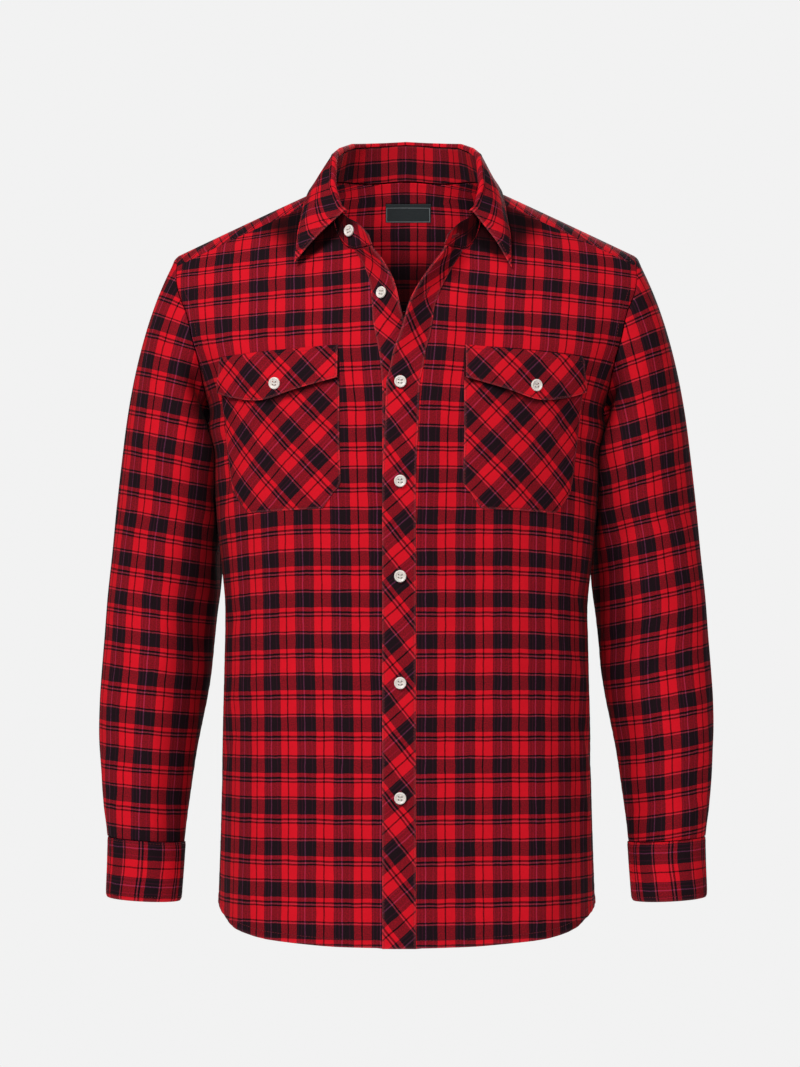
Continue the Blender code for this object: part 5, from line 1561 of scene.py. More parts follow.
def inset_line(outer, normal, at, stitching, stitches):
    """The line on a shell at one distance from a border, kept clear of the other lines' ends."""
    border, distance, *ends = stitching
    crosswise = border in ("start", "end")
    lines = at.cell_beside(border)

    def turned(grid):
        return grid if crosswise else np.swapaxes(grid, 0, 1)
    run, grid, facing = turned(getattr(at, border)), turned(outer), turned(normal)
    limits = [(turned(getattr(at, other)), gap) for other, gap, *_ in stitches
              if (other in ("start", "end")) != crosswise]
    found = []
    for k in range(len(grid)):
        if ends and not ends[0] <= turned(lines)[k, 0] <= ends[1]:
            continue
        order = np.argsort(run[k])
        along = run[k][order]
        clear = all(np.interp(distance, along, limit[k][order]) >= gap - 1e-6
                    for limit, gap in limits)
        if clear and run[k].max() > distance:
            found.append((pick(distance, along, grid[k][order]),
                          pick(distance, along, facing[k][order])))
    if len(found) < 2:
        return None
    return np.array([f[0] for f in found]), np.array([f[1] for f in found])


STITCH_SIDES = 5
STITCH_RINGS = (              # share of a stitch's length, height over the cloth, share of its radius
    (0.00, -0.00030, 0.55),
    (0.16, 0.00006, 1.00),
    (0.50, 0.00014, 1.00),
    (0.84, 0.00006, 1.00),
    (1.00, -0.00030, 0.55),
)


def stitch_mesh(name, lines):
    """Lines of stitches, each one a short arched thread, as one mesh."""
    points, faces = [], []
    for line, normals in lines:
        step = np.linalg.norm(np.diff(line, axis=0), axis=1)
        run = np.concatenate([[0], np.cumsum(step)])
        count = int(run[-1] / STITCH_PITCH)
        if count < 1:
            continue
        for start in (np.arange(count) + 0.5) * run[-1] / count - STITCH_LENGTH / 2:
            first = len(points)
            for share, height, swell in STITCH_RINGS:
                at = start + share * STITCH_LENGTH
                here = pick(at, run, line)
                along = unit(pick(at + 2e-4, run, line) - pick(at - 2e-4, run, line))
                up = pick(at, run, normals)
                up = unit(up - np.dot(up, along) * along)
                side = np.cross(along, up)
                for k in range(STITCH_SIDES):
                    turn = 2 * math.pi * k / STITCH_SIDES
                    way = side * math.cos(turn) + up * math.sin(turn)
                    points.append(here + up * height + way * STITCH_RADIUS * swell)
            rings = len(STITCH_RINGS)
            faces += skin(first, rings, STITCH_SIDES, "baAB")
            faces += lids(first, first + (rings - 1) * STITCH_SIDES, STITCH_SIDES)
    return raw_mesh(name, points, faces, MATERIALS["thread"])


WORD = {-1: "right", 1: "left"}
FRONT_START = {-1: -0.0541, 1: 0.0298}   # a red warp stripe's left edge, from the middle line
BACK_START = -0.0086
EDGE_STITCH = 0.0018
HEM_STITCH = 0.0078
ARM_STITCH = 0.0070
COLLAR_STITCH = 0.0050
CUFF_STITCH = 0.0048
ARM_FROM = SIDE_ROWS + 0.6   # the row where the stitching along an armhole starts
HEM_TURN = 0.0088
SIDE_FILL_AT = -0.240
COLLAR_SHADE = ((0.0612, -0.0290), (0.1066, -0.0800))   # the fall's front edge, roll to tip, below which a shadow is painted
COLLAR_REACH = 0.027         # how far down the painted shadow under it goes
MATERIALS = {}
HALF_SEAM = 0.008        # share of a cell: half the gap at the side seam


def lines_at(stitch, *more):
    """Distances of the grid lines that shape a row of stitching."""
    return (stitch - 0.0009, stitch, stitch + 0.0009) + more


HEM_LINES = lines_at(HEM_STITCH, HEM_TURN + 0.0008)


def sewn(distance, *borders):
    return [(border, distance) for border in borders]


def hem_relief(at):
    """The hem is turned up twice: a thicker band that ropes a little."""
    band = 0.0004 * smooth_step(HEM_TURN + 0.0006, HEM_TURN - 0.0006, at.low)
    rope = ripple(at.start + at.low * 0.8, 0.0150, 1.0) * 0.00045 * bell(at.low, 0.008)
    sway = ripple(at.start, 0.0900, 0.6) * 0.0014 * np.exp(-at.low / 0.060)
    return band + rope + sway


def side_fill(at):
    """Below the armpit the panels bunch a little towards the sleeve."""
    return 0.0042 * smooth_step(0.165, 0.188, np.abs(at.x)) * bell(at.z - SIDE_FILL_AT, 0.015)


def painted_shade_under_collar(at):
    """How much painted shadow a place gets below the fall's front edge, from 0 to 1."""
    (x0, z0), (x1, z1) = COLLAR_SHADE
    run = math.hypot(x1 - x0, z1 - z0)
    right, up = (x1 - x0) / run, (z1 - z0) / run
    x = np.abs(at.x + FALL_TIP_SHIFT) - x0
    z = at.z - z0
    along = (x * right + z * up) / run
    below = x * up - z * right
    reach = COLLAR_REACH * np.clip(1.08 - along, 0.02, 1)
    in_front = smooth_step(-0.010, -0.035, at.y)
    return smooth_step(1.0, 0.45, below / reach) * smooth_step(1.08, 0.70, along) * in_front


def painted_shade_beside_sleeve(at):
    """How much painted shade a place of a front gets near its outline beside the sleeve."""
    out = np.abs(at.x)
    turned = smooth_step(0.013, 0.001, out.max(axis=1, keepdims=True) - out)
    return 0.75 * turned * smooth_step(-0.185, -0.225, at.z) * smooth_step(-0.58, -0.34, at.z)


def painted_shade_inside(at):
    """Painted shade on the back's and the yoke's inner side, darker from the neck down; their outside
    gets none.
    """
    behind = smooth_step(-0.01, 0.02, at.y)
    inner = 0.92 * smooth_step(-0.015, -0.095, at.z) * behind
    return np.stack([0 * inner, inner])


def pressed(gap, nearest, width):
    """How far a piece laid on another sinks onto it at its sewn borders."""
    return -(gap - 0.0003) * bell(nearest, width)


def sewn_border(at):
    return np.minimum(np.minimum(at.start, at.end), at.high)


def dress_front(side):
    grid = partial(front_grid, side=side)
    drift = curve(COLUMNS, WORD[side])

    def relief(at):
        closed = smooth_step(0.020, 0.055, at.start)
        creases = torso_creases(at, -1) * closed
        return creases + side_fill(at) + hem_relief(at) * (0.25 + 0.75 * closed)

    def plaid(at):
        return torso_plaid(at, -1, FRONT_START[side] + drift(at.z))

    # painted shade under the collar and beside the sleeve
    def hollow(at):
        return np.maximum(painted_shade_under_collar(at), painted_shade_beside_sleeve(at))
    i = cell_lines(FRONT_CELLS, 4, (0.0108, 0.0170), (ARM_STITCH,))
    j = cell_lines(FRONT_ROWS, 8, (0.0303, 0.0214), HEM_LINES)
    i[-1] -= HALF_SEAM
    panel = f"front_{WORD[side]}"
    dress(panel, grid, i, j, side, FRONT_CELLS, FRONT_ROWS, plaid, "edge seam edge blend",
          relief=relief, hollow=hollow,
          stitches=[("low", HEM_STITCH), ("end", ARM_STITCH, ARM_FROM, FRONT_ROWS - 0.1)])

    def strip_relief(at):
        press = -0.0003 * bell(np.minimum(at.start, at.end), 0.0020)
        pull = sum(bell(at.z - button, 0.011) for button in PLACKET_BUTTONS)
        return press + 0.0004 * (1 - pull) * np.sin(math.pi * at.i / STRIP_CELLS)

    def strip_plaid(at):
        down = PLAID_LEVEL - at.z
        return bias(at.start * side, down / STRIP_STRETCH, STRIP_TURN[side], STRIP_ORIGIN[side])
    i = cell_lines(STRIP_CELLS, 4, (0.0108, 0.0108), (EDGE_STITCH - 0.0008, EDGE_STITCH + 0.0008))
    j = cell_lines(FRONT_ROWS, 8, (0.0303, 0.0214))
    j[0] = 0.012
    j[-1] -= 0.03
    dress("placket" if side > 0 else "button_band", grid, i, j, side, FRONT_CELLS, FRONT_ROWS,
          strip_plaid, "edge edge edge seam", out=LAY_GAP + STRIP, thickness=STRIP,
          # the painted shadow under the collar lies on the strip too
          relief=strip_relief, hollow=lambda at: 0.8 * painted_shade_under_collar(at),
          stitches=sewn(EDGE_STITCH, "start", "end"))


STRIP_STRETCH = 1.06         # a bias strip lengthens under the iron
STRIP_TURN = {1: 50, -1: 45}
STRIP_ORIGIN = {1: (0.0160, 0.0183, 0.0086, 0.0068), -1: (0.0, 0.0, 0.010, 0.006)}


def dress_back():
    def relief(at):
        return torso_creases(at, 1) + side_fill(at) + hem_relief(at)
    i = cell_lines(BACK_CELLS, 5, (0.0230, 0.0230), (ARM_STITCH,))
    j = cell_lines(BACK_ROWS, 8, (0.0303, 0.0230), HEM_LINES)
    i[0] += HALF_SEAM
    i[-1] -= HALF_SEAM
    stitches = [("low", HEM_STITCH), ("start", ARM_STITCH, ARM_FROM, BACK_ROWS - 0.1),
                ("end", ARM_STITCH, ARM_FROM, BACK_ROWS - 0.1)]
    dress("back", back_grid, i, j, -1, BACK_CELLS, BACK_ROWS,
          lambda at: torso_plaid(at, 1, BACK_START), "seam seam edge seam",
          relief=relief, hollow=painted_shade_inside, stitches=stitches)


YOKE_START = 0.0036          # where a red warp stripe starts on the yoke, from its middle


def dress_yoke():
    i = cell_lines(YOKE_CELLS, 5, (0.0150, 0.0150), (ARM_STITCH,))
    j = cell_lines(YOKE_ROWS, 8, (0.0180, 0.0180))

    def plaid(at):
        middle = 2 * at.i / YOKE_CELLS - 1
        half = (at.start + at.end) / 2
        neck = np.interp(0.5 * YOKE_CELLS, i, at.low[-1])
        return middle * half - YOKE_START, neck - at.low
    stitches = [("low", EDGE_STITCH), ("start", ARM_STITCH), ("end", ARM_STITCH),
                ("high", EDGE_STITCH, 0.4, SEAM_CELLS),
                ("high", EDGE_STITCH, YOKE_CELLS - SEAM_CELLS, YOKE_CELLS - 0.4)]
    dress("yoke", yoke_grid, i, j, -1, YOKE_CELLS, YOKE_ROWS, plaid, "seam seam blend blend",
          hollow=painted_shade_inside, stitches=stitches)


SLEEVE_LEAN = (
    ("down", "right", "left"),   # how far the rows lean towards the body, in degrees, down the arm
    (0.000, 31.0, 33.0),
    (0.040, 25.0, 28.0),
    (0.080, 18.0, 22.0),
    (0.150, 13.0, 18.0),
    (0.250, 11.0, 15.0),
    (0.450, 6.0, 10.0),
    (0.620, 4.0, 8.0),
)
SLEEVE_DRIFT = (
    ("z", "right_x", "right_z", "left_x", "left_z"),   # how far the plaid lies aside and up
    (-0.640, 0.001, 0.0070, -0.002, 0.0000),
    (-0.600, 0.002, 0.0085, -0.002, 0.0010),
    (-0.550, 0.002, 0.0065, -0.001, 0.0010),
    (-0.500, 0.000, 0.0060, 0.001, 0.0000),
    (-0.455, -0.001, 0.0055, 0.004, 0.0010),
    (-0.405, -0.003, 0.0025, 0.0095, 0.0020),
    (-0.360, -0.003, 0.0015, 0.009, 0.0015),
    (-0.310, 0.000, 0.0010, 0.003, 0.0000),
    (-0.200, 0.000, 0.0000, 0.002, 0.0000),
    (-0.110, -0.001, -0.0020, 0.004, 0.0000),
)
SLEEVE_RED = {-1: (-0.2561, -0.2773), 1: (0.2396, -0.2600)}   # middle of a red square in front
SLEEVE_STEPS = 90
SLEEVE_BEND = -0.45          # below this the columns follow the sleeve's middle
UNDERARM_PUSH = 0.0060       # the sleeve's underarm fills towards the torso
SLEEVE_PAINTED_SHADE = {-1: 0.70, 1: 0.42}   # painted shade on its side towards the torso, heavier on the wearer's right sleeve
ARC_STEPS = 32


def ellipse_run(angle, wide, deep):
    """Distance round an ellipse from its outer end to an angle."""
    turn = angle[..., None] * np.linspace(0, 1, ARC_STEPS + 1)
    speed = np.hypot(wide[..., None] * np.sin(turn), deep[..., None] * np.cos(turn))
    step = np.abs(angle)[..., None] / ARC_STEPS
    return np.sign(angle) * ((speed[..., 1:] + speed[..., :-1]) / 2 * step).sum(axis=-1)


def sleeve_cloth(x, y, z, side, shares):
    """Cloth distances on a sleeve: round it from its outer line, and down that line."""
    rows = np.linspace(0, CAP_ROWS + SLEEVE_ROWS, SLEEVE_STEPS)
    outer = float(np.interp(0.5, shares, np.arange(LOOP_CELLS + 1)))
    line = sleeve_grid(np.full_like(rows, outer), rows, side, shares)
    line_x, line_z = side * line[:, 0], line[:, 2]
    step = np.hypot(np.diff(line_x), np.diff(line_z))
    run = np.concatenate([[0], np.cumsum(step)])
    lean = np.radians(curve(SLEEVE_LEAN, WORD[side])(run))
    x = side * x
    ahead = ((x[..., None] - line_x) * np.sin(lean) - (z[..., None] - line_z) * np.cos(lean))
    last = np.clip((ahead > 0).sum(axis=-1) - 1, 0, SLEEVE_STEPS - 2)
    now = np.take_along_axis(ahead, last[..., None], -1)[..., 0]
    then = np.take_along_axis(ahead, last[..., None] + 1, -1)[..., 0]
    at = last + now / np.maximum(now - then, 1e-9)
    number = np.arange(SLEEVE_STEPS)
    foot_x, foot_z = np.interp(at, number, line_x), np.interp(at, number, line_z)
    turn = np.interp(at, number, lean)
    inward = -(x - foot_x) * np.cos(turn) - (z - foot_z) * np.sin(turn)
    level = np.clip(foot_z, CUFF_TOP, SLEEVE_TOP)
    wide, deep = sleeve_wide(level), sleeve_deep(level)
    angle = np.arctan2(-(y - sleeve_y(level)) / deep, (wide - inward) / wide)
    down = np.interp(at, number, run) + (at - np.clip(at, 0, SLEEVE_STEPS - 1)) * step[0]
    quarter = np.full_like(angle, math.pi / 2)
    bend = np.maximum(level, SLEEVE_BEND)
    shift = (ellipse_run(quarter, wide, deep)
             - ellipse_run(quarter, sleeve_wide(bend), sleeve_deep(bend)) / 2)
    return -side * (ellipse_run(angle, wide, deep) - shift), down


def sleeve_plaid(at, side, shares):
    """Cloth distances over a sleeve, moved so that a red square's middle lies where it should."""
    x, z = SLEEVE_RED[side]
    in_front = at.y < sleeve_y(np.clip(at.z, CUFF_TOP, SLEEVE_TOP))
    gap = (at.x - x) ** 2 + (at.z - z) ** 2
    nearest = np.unravel_index(np.argmin(np.where(in_front, gap, 1.0)), gap.shape)
    u, v = sleeve_cloth(at.x, at.y, at.z, side, shares)
    anchor = (np.array([[part]]) for part in (x, at.y[nearest], z))
    u0, v0 = sleeve_cloth(*anchor, side, shares)
    aside, up = (curve(SLEEVE_DRIFT, f"{WORD[side]}_{axis}")(at.z) for axis in "xz")
    return u - u0[0, 0] + RED_MIDDLE[0] - aside, v - v0[0, 0] + RED_MIDDLE[1] + up


def dress_sleeve(side):
    shares = loop_shares(side)
    rows = CAP_ROWS + SLEEVE_ROWS

    def relief(at):
        angle = sleeve_angle(at.i, side, shares)
        level = np.where(at.j < CAP_ROWS, SLEEVE_TOP + (CAP_ROWS - at.j) * 0.020,
                         sleeve_level(np.maximum(at.j, CAP_ROWS)))
        gather = ripple(angle * 0.04, 0.019, 1.3) * 0.0007 * np.exp(-at.high / 0.020)
        head = 0.0006 * np.exp(-(at.low / 0.004 - 1.3) ** 2)
        inner = np.clip(-np.cos(angle), 0, 1) ** 1.5
        under = UNDERARM_PUSH * inner * smooth_step(0.4, 2.4, at.j) * smooth_step(11.0, 7.0, at.j)
        return sleeve_creases(angle, level, side) + gather + head + under

    # painted shade on the sleeve's inner side
    def hollow(at):
        inner = np.clip(-np.cos(sleeve_angle(at.i, side, shares)), 0, 1)
        deep = SLEEVE_PAINTED_SHADE[side] * smooth_step(0.02, 0.65, inner)
        return deep * smooth_step(0.0, 2.0, at.j) * (1 - 0.45 * smooth_step(12.0, 20.0, at.j))
    i = cell_lines(LOOP_CELLS, 6, (0.026, 0.026))
    j = cell_lines(rows, 6, (0.012, 0.0242))
    i[0] += 0.006
    i[-1] -= 0.006
    dress(f"sleeve_{WORD[side]}", partial(sleeve_grid, side=side, shares=shares), i, j, -side,
          LOOP_CELLS, rows, partial(sleeve_plaid, side=side, shares=shares), "seam seam seam seam",
          relief=relief, hollow=hollow)


CUFF_CORNER = 0.0110         # radius of a cuff's lower corners
CUFF_HIGH = CUFF_TOP - CUFF_BOTTOM
CUFF_CELL = 0.0105           # length of one of its cells
CUFF_CORNERS = {-1: (-0.2656, -0.6657), 1: (0.2589, -0.6707)}   # where a red square's corner lies


def dress_cuff(side):
    def grid(i, j):
        near = np.minimum(i, CUFF_CELLS - i) * CUFF_CELL
        fall = np.clip(1 - near / CUFF_CORNER, 0, 1)
        cut = CUFF_CORNER * (1 - np.sqrt(1 - fall ** 2)) / CUFF_HIGH
        return cuff_grid(i, j * (1 - 0.9 * cut), side)

    def relief(at):
        tuck = -0.0016 * np.clip(1 - at.high / 0.005, 0, 1) ** 2
        soft = ripple(at.start, 0.050, 0.9) * 0.0005
        return 0.0003 + tuck + soft * smooth_step(0.004, 0.02, at.low)

    def plaid(at):
        x, z = CUFF_CORNERS[side]
        gap = np.hypot(at.x - x, at.z - z) + 9 * (at.y > -0.005)
        nearest = np.unravel_index(np.argmin(gap), gap.shape)
        return at.low - at.low[nearest], side * (at.start - at.start[nearest])
    marks = lines_at(CUFF_STITCH, 0.0030)
    i = cell_lines(CUFF_CELLS, 5, (CUFF_CELL, CUFF_CELL), marks)
    j = cell_lines(CUFF_ROWS, 8, (0.0295, 0.0295), marks)
    dress(f"cuff_{WORD[side]}", grid, i, j, side, CUFF_CELLS, CUFF_ROWS, plaid,
          "edge edge seam edge", out=0.0002, thickness=0.0013, relief=relief,
          stitches=(sewn(CUFF_STITCH, "start", "end") + sewn(EDGE_STITCH, "low")
                    + sewn(CUFF_STITCH, "high")))

    def straight(at):
        return at.start * -side + 0.004, -at.low + 0.012
    i = cell_lines(2, 5, (0.011, 0.011))
    j = cell_lines(SLIT_ROWS, 6, (0.022, 0.022))
    dress(f"sleeve_placket_{WORD[side]}", partial(slit_grid, side=side), i, j, -side, 2, SLIT_ROWS,
          straight, "edge edge edge edge", out=PATCH_GAP + STRIP, thickness=STRIP,
          relief=lambda at: pressed(PATCH_GAP, sewn_border(at), 0.0030),
          stitches=sewn(EDGE_STITCH, "start", "end", "high"))


STAND_START = 0.0261         # warp distance at the stand's middle
STAND_LEVEL = -0.0009        # weft distance at its top
FALL_STRIPE = 0.0086
FALL_LEVEL = 0.0060
FALL_THICK = 0.0016


def dress_collar():
    def stand_plaid(at):
        return (at.start - at.end) / 2 + STAND_START, at.high + STAND_LEVEL

    def fall_plaid(at):
        return (at.start - at.end) / 2 + FALL_STRIPE, at.low + FALL_LEVEL

    def soft(at):
        wave = ripple(at.start, 0.070, 2.1) * 0.0006
        return wave * smooth_step(0.010, 0.030, at.low) + 0.0002

    # painted shade on the stand, heavier towards its back, and the painted shadow under the fall's
    # front
    def inside(at):
        return np.maximum(0.40 * smooth_step(-0.060, -0.020, at.y), painted_shade_under_collar(at))
    i = cell_lines(STAND_CELLS, 5, (0.011, 0.011), (0.0030,))
    j = cell_lines(STAND_ROWS, 6, (0.0070, 0.0070))
    dress("collar_stand", stand_grid, i, j, -1, STAND_CELLS, STAND_ROWS, stand_plaid,
          "edge edge seam edge", thickness=0.0012, hollow=inside,
          stitches=sewn(EDGE_STITCH, "start", "end", "low"))
    marks = lines_at(COLLAR_STITCH, 0.0030)
    i = cell_lines(FALL_CELLS, 5, (0.014, 0.014), marks)
    j = cell_lines(FALL_ROWS, 8, (0.0028, 0.0100), marks)
    dress("collar_fall", fall_grid, i, j, 1, FALL_CELLS, FALL_ROWS, fall_plaid,
          "edge edge blend edge", out=0.0003, thickness=FALL_THICK, relief=soft,
          stitches=sewn(COLLAR_STITCH, "start", "end", "high"))


# Where a diamond's middle lies on each patch, seen from the front: x, z, and its distances
PATCH_DIAMONDS = {
    "pocket_right": (-0.1149, -0.2736, *RED_MIDDLE),
    "pocket_left": (0.1069, -0.2574, *RED_MIDDLE),
    "flap_right": (-0.0991, -0.1864, *BLACK_MIDDLE),
    "flap_left": (0.0941, -0.1858, *RED_MIDDLE),
}


def patch_plaid(at, name):
    x, z, warp, weft = PATCH_DIAMONDS[name]
    origin = (float(across_length(np.array(x), np.array(z), -1)), -z, warp, weft)
    return bias(across_length(at.x, at.z, -1), -at.z, 45, origin)


def painted_shade_under_flap(at, side):
    """How much painted shadow a place of a pocket gets just below its flap."""
    share = (side * (at.x - PATCH_MIDDLE) - FLAP_INNER) / (FLAP_OUTER - FLAP_INNER)
    below = flap_bottom(np.clip(share, 0, 1)) - at.z
    return 0.9 * smooth_step(0.0048, 0.0012, below)


def dress_pocket(side):
    word = WORD[side]

    def bellied(at):
        nearest = sewn_border(at)
        belly = 0.0008 * smooth_step(0.004, 0.045, nearest) * smooth_step(0.0, 0.03, at.low)
        loose = ripple(at.start + 0.5 * at.low, 0.075, 1.2 + len(word)) * 0.0006
        return (pressed(PATCH_GAP, nearest, 0.0028) + belly
                + loose * smooth_step(0.004, 0.03, nearest))

    def hinged(at):
        free = smooth_step(0.010, 0.030, at.low)
        side_lift = 0.0018 + 0.0008 * (at.i / FLAP_CELLS * 2 - 1) ** 2
        curl = ripple(at.start, 0.060, 0.5 + len(word)) * 0.0005
        return pressed(FLAP_OUT - STRIP, at.low, 0.0034) + free * (side_lift + curl)
    marks = (EDGE_STITCH - 0.0008, 0.0030)
    rows = POCKET_NODES[-1]
    i = cell_lines(POCKET_CELLS, 5, (0.0130, 0.0130), marks)
    j = cell_lines(rows, 10, (0.0400, 0.0120), marks)
    borders = sewn(EDGE_STITCH, "start", "end", "high")
    pocket = f"pocket_{word}"
    dress(pocket, partial(pocket_grid, side=side), i, j, -side, POCKET_CELLS, rows,
          partial(patch_plaid, name=pocket), "edge edge edge edge", out=PATCH_GAP + STRIP,
          thickness=STRIP, relief=bellied, hollow=partial(painted_shade_under_flap, side=side),
          stitches=borders)
    i = cell_lines(FLAP_CELLS, 5, (0.0120, 0.0120), marks)
    j = cell_lines(FLAP_ROWS, 8, (0.0140, 0.0140), marks)
    flap = f"flap_{word}"
    dress(flap, partial(flap_grid, side=side), i, j, -side, FLAP_CELLS, FLAP_ROWS,
          partial(patch_plaid, name=flap), "edge edge seam edge", out=FLAP_OUT, thickness=0.0015,
          relief=hinged, stitches=borders + [("low", 0.0050)])


def dress_label():
    i = cell_lines(LABEL_CELLS, 8, (0.0118, 0.0118))
    j = cell_lines(LABEL_ROWS, 8, (0.0093, 0.0093))
    dress("neck_label", label_grid, i, j, -1, LABEL_CELLS, LABEL_ROWS,
          lambda at: (at.start, at.low), "edge edge edge edge", out=-CLOTH - LABEL_GAP,
          thickness=0.0007)


# Buttons

BUTTON_PROFILE = (       # share of the radius, height over the back, from the underside in
    (0.86, 0.00000),
    (0.95, 0.00020),
    (0.99, 0.00060),
    (1.00, 0.00110),
    (0.99, 0.00160),
    (0.955, 0.00205),
    (0.90, 0.00232),
    (0.84, 0.00240),
    (0.78, 0.00232),
    (0.72, 0.00205),
    (0.66, 0.00178),
    (0.58, 0.00164),
    (0.40, 0.00158),
    (0.20, 0.00156),
)
BUTTON_TURNS = 56
HOLE_OFFSET = 0.00150        # of each hole's middle from the button's, both ways
HOLE_RADIUS = 0.00068
HOLE_SIDES = 20
THREAD_RADIUS = 0.00030
SHANK_RADIUS = 0.00055
SHANK_OFFSET = 0.0007


def lathe(profile, turns):
    """A closed turned body from a profile that runs from the underside over the rim to the middle."""
    angles = [2 * math.pi * k / turns for k in range(turns)]
    points = [(radius * math.cos(angle), radius * math.sin(angle), height)
              for radius, height in profile for angle in angles]
    faces = skin(0, len(profile), turns, "abBA") + lids((len(profile) - 1) * turns, 0, turns)
    return points, faces


def spare_object(name, points, faces):
    mesh = bpy.data.meshes.new(name)
    mesh.from_pydata(points, [], faces)
    return add_object(name, mesh)


def button_mesh():
    """One four-hole button about its own axis."""
    profile = [(share * BUTTON_RADIUS, height) for share, height in BUTTON_PROFILE]
    blank = spare_object("button_blank", *lathe(profile, BUTTON_TURNS))
    points, faces = [], []
    rings = ((HOLE_RADIUS, -0.001), (HOLE_RADIUS, 0.00135), (HOLE_RADIUS * 1.5, 0.0021))
    drill, sides = lathe(rings, HOLE_SIDES)
    for x in (-HOLE_OFFSET, HOLE_OFFSET):
        for y in (-HOLE_OFFSET, HOLE_OFFSET):
            first = len(points)
            points += [(px + x, py + y, pz) for px, py, pz in drill]
            faces += [[first + k for k in face] for face in sides]
    drill = spare_object("button_drill", points, faces)
    cut = blank.modifiers.new("holes", "BOOLEAN")
    cut.operation = "DIFFERENCE"
    cut.object = drill
    cut.solver = "EXACT"
    graph = bpy.context.evaluated_depsgraph_get()
    result = bpy.data.meshes.new_from_object(blank.evaluated_get(graph))
    result.name = "button"
    for spare in (blank, drill):
        bpy.data.objects.remove(spare)
    place = np.empty(len(result.vertices) * 3)
    result.vertices.foreach_get("co", place)
    x, y, z = place.reshape(-1, 3).T
    hole = np.hypot(np.abs(x) - HOLE_OFFSET, np.abs(y) - HOLE_OFFSET)
    # darker inside the holes and in a ring round the dish
    darker_at_holes_and_ring = np.clip(1 - (hole - HOLE_RADIUS) / 0.0002, 0, 1) * (z < 0.0016)
    darker_at_holes_and_ring = np.maximum(darker_at_holes_and_ring, 0.35 * bell(np.hypot(x, y) / BUTTON_RADIUS - 0.64, 0.03))
    attribute = result.attributes.new("seam", "FLOAT", "POINT")
    attribute.data.foreach_set("value", darker_at_holes_and_ring)
    result.shade_smooth()
    result.set_sharp_from_angle(angle=math.radians(40))
    result.materials.clear()
    result.materials.append(MATERIALS["button"])
    return result


UP = np.array((0.0, 0.0, 1.0))


def button_places():
    """Each button's node, the middle of its back, its facing, its turn, and the way its hole runs."""
    strip_out = LAY_GAP + STRIP + BUTTON_GAP
    places = []

    def add(name, found, out, turn, way):
        point, normal = found
        places.append((f"button_{name}", point + normal * out, normal, turn, way))
    stand = sample(stand_grid, np.array(STAND_BUTTON_CELL), np.array(0.58 * STAND_ROWS), -1,
                   STAND_CELLS, STAND_ROWS)
    add("stand", stand, BUTTON_GAP, 20, None)
    add("band_top", on_front(*BAND_BUTTON, -1), strip_out, -6, None)
    for number, z in enumerate(PLACKET_BUTTONS, 1):
        add(f"placket_{number}", on_front(BUTTON_X, z, 1), strip_out, 4 * (-1) ** number, UP)
    for side, word in WORD.items():
        add(f"flap_{word}", on_front(*FLAP_BUTTONS[side], side), FLAP_OUT + BUTTON_GAP, 9 * side, UP)
        lap = CUFF_LAP / float(sleeve_wide(CUFF_TOP))
        cell = CUFF_CELLS * (1 - lap / 2 / (2 * math.pi + lap))
        found = sample(partial(cuff_grid, side=side), np.array(cell), np.array(CUFF_ROWS / 2), side,
                       CUFF_CELLS, CUFF_ROWS)
        add(f"cuff_{word}", found, BUTTON_GAP, 3 * side, unit(np.cross(found[1], UP)))
    return places


def on_front(x, z, side):
    """A point of a front and its outward normal."""
    step = 1e-4
    tau = tau_of(x, z)
    across = front(tau + step, z, side) - front(tau - step, z, side)
    along = front(tau, z + step, side) - front(tau, z - step, side)
    return front(tau, z, side), unit(np.cross(across, along))


def tube(points, faces, path, radius, sides=8):
    """Adds a round thread along a path to lists of points and faces."""
    path = np.array(path)
    first = len(points)
    for k in range(len(path)):
        along = unit(path[min(k + 1, len(path) - 1)] - path[max(k - 1, 0)])
        guide = UP if abs(along[2]) < 0.9 else np.array((1.0, 0.0, 0.0))
        side = unit(np.cross(along, guide))
        up = np.cross(side, along)
        for n in range(sides):
            turn = 2 * math.pi * n / sides
            points.append(path[k] + (side * math.cos(turn) + up * math.sin(turn)) * radius)
    faces += skin(first, len(path), sides)
    faces += lids(first, first + (len(path) - 1) * sides, sides)


def dress_buttons():
    shape = button_mesh()
    points, faces = [], []
    for name, foot, normal, turn, _ in button_places():
        side = unit(np.cross(normal, UP))
        up = np.cross(side, normal)
        turn = math.radians(turn)
        right = -side * math.cos(turn) + up * math.sin(turn)
        above = np.cross(normal, right)
        piece = add_object(f"shaped_{name}", shape)
        rows = np.eye(4)
        rows[:3, 0], rows[:3, 1], rows[:3, 2], rows[:3, 3] = right, above, normal, foot
        piece.matrix_basis = Matrix(rows.tolist())
        bpy.context.view_layer.update()
        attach(piece, "root")
        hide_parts(name)
        frame_of = np.stack([right, above, normal])
        for level in (-HOLE_OFFSET, HOLE_OFFSET):
            for shift in (-0.00026, 0.00026):
                path = []
                for share in np.linspace(0, 1, 9):
                    x = -HOLE_OFFSET + 2 * HOLE_OFFSET * share
                    lift = 0.00175 + 0.00042 * math.sin(math.pi * share) - 0.0016 * (2 * share - 1) ** 8
                    path.append(foot + np.array((x, level + shift, lift)) @ frame_of)
                tube(points, faces, path, THREAD_RADIUS)
        for x in (-SHANK_OFFSET, SHANK_OFFSET):
            for y in (-SHANK_OFFSET, SHANK_OFFSET):
                path = [foot + np.array((x, y, height)) @ frame_of
                        for height in (-BUTTON_GAP - 0.0003, 0.0002, 0.0004)]
                tube(points, faces, path, SHANK_RADIUS)
    threads = raw_mesh("button_threads", points, faces, MATERIALS["button_thread"])
    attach(threads, "root")


BUTTONHOLE = 0.0140          # a buttonhole's length, bars included
BUTTONHOLE_WIDE = 0.0030
BUTTONHOLE_BAR = 0.0012
SATIN_PITCH = 0.00042
SATIN_RADIUS = 0.00020
HOLE_LIFT = 0.0002           # of a buttonhole's thread over its cloth


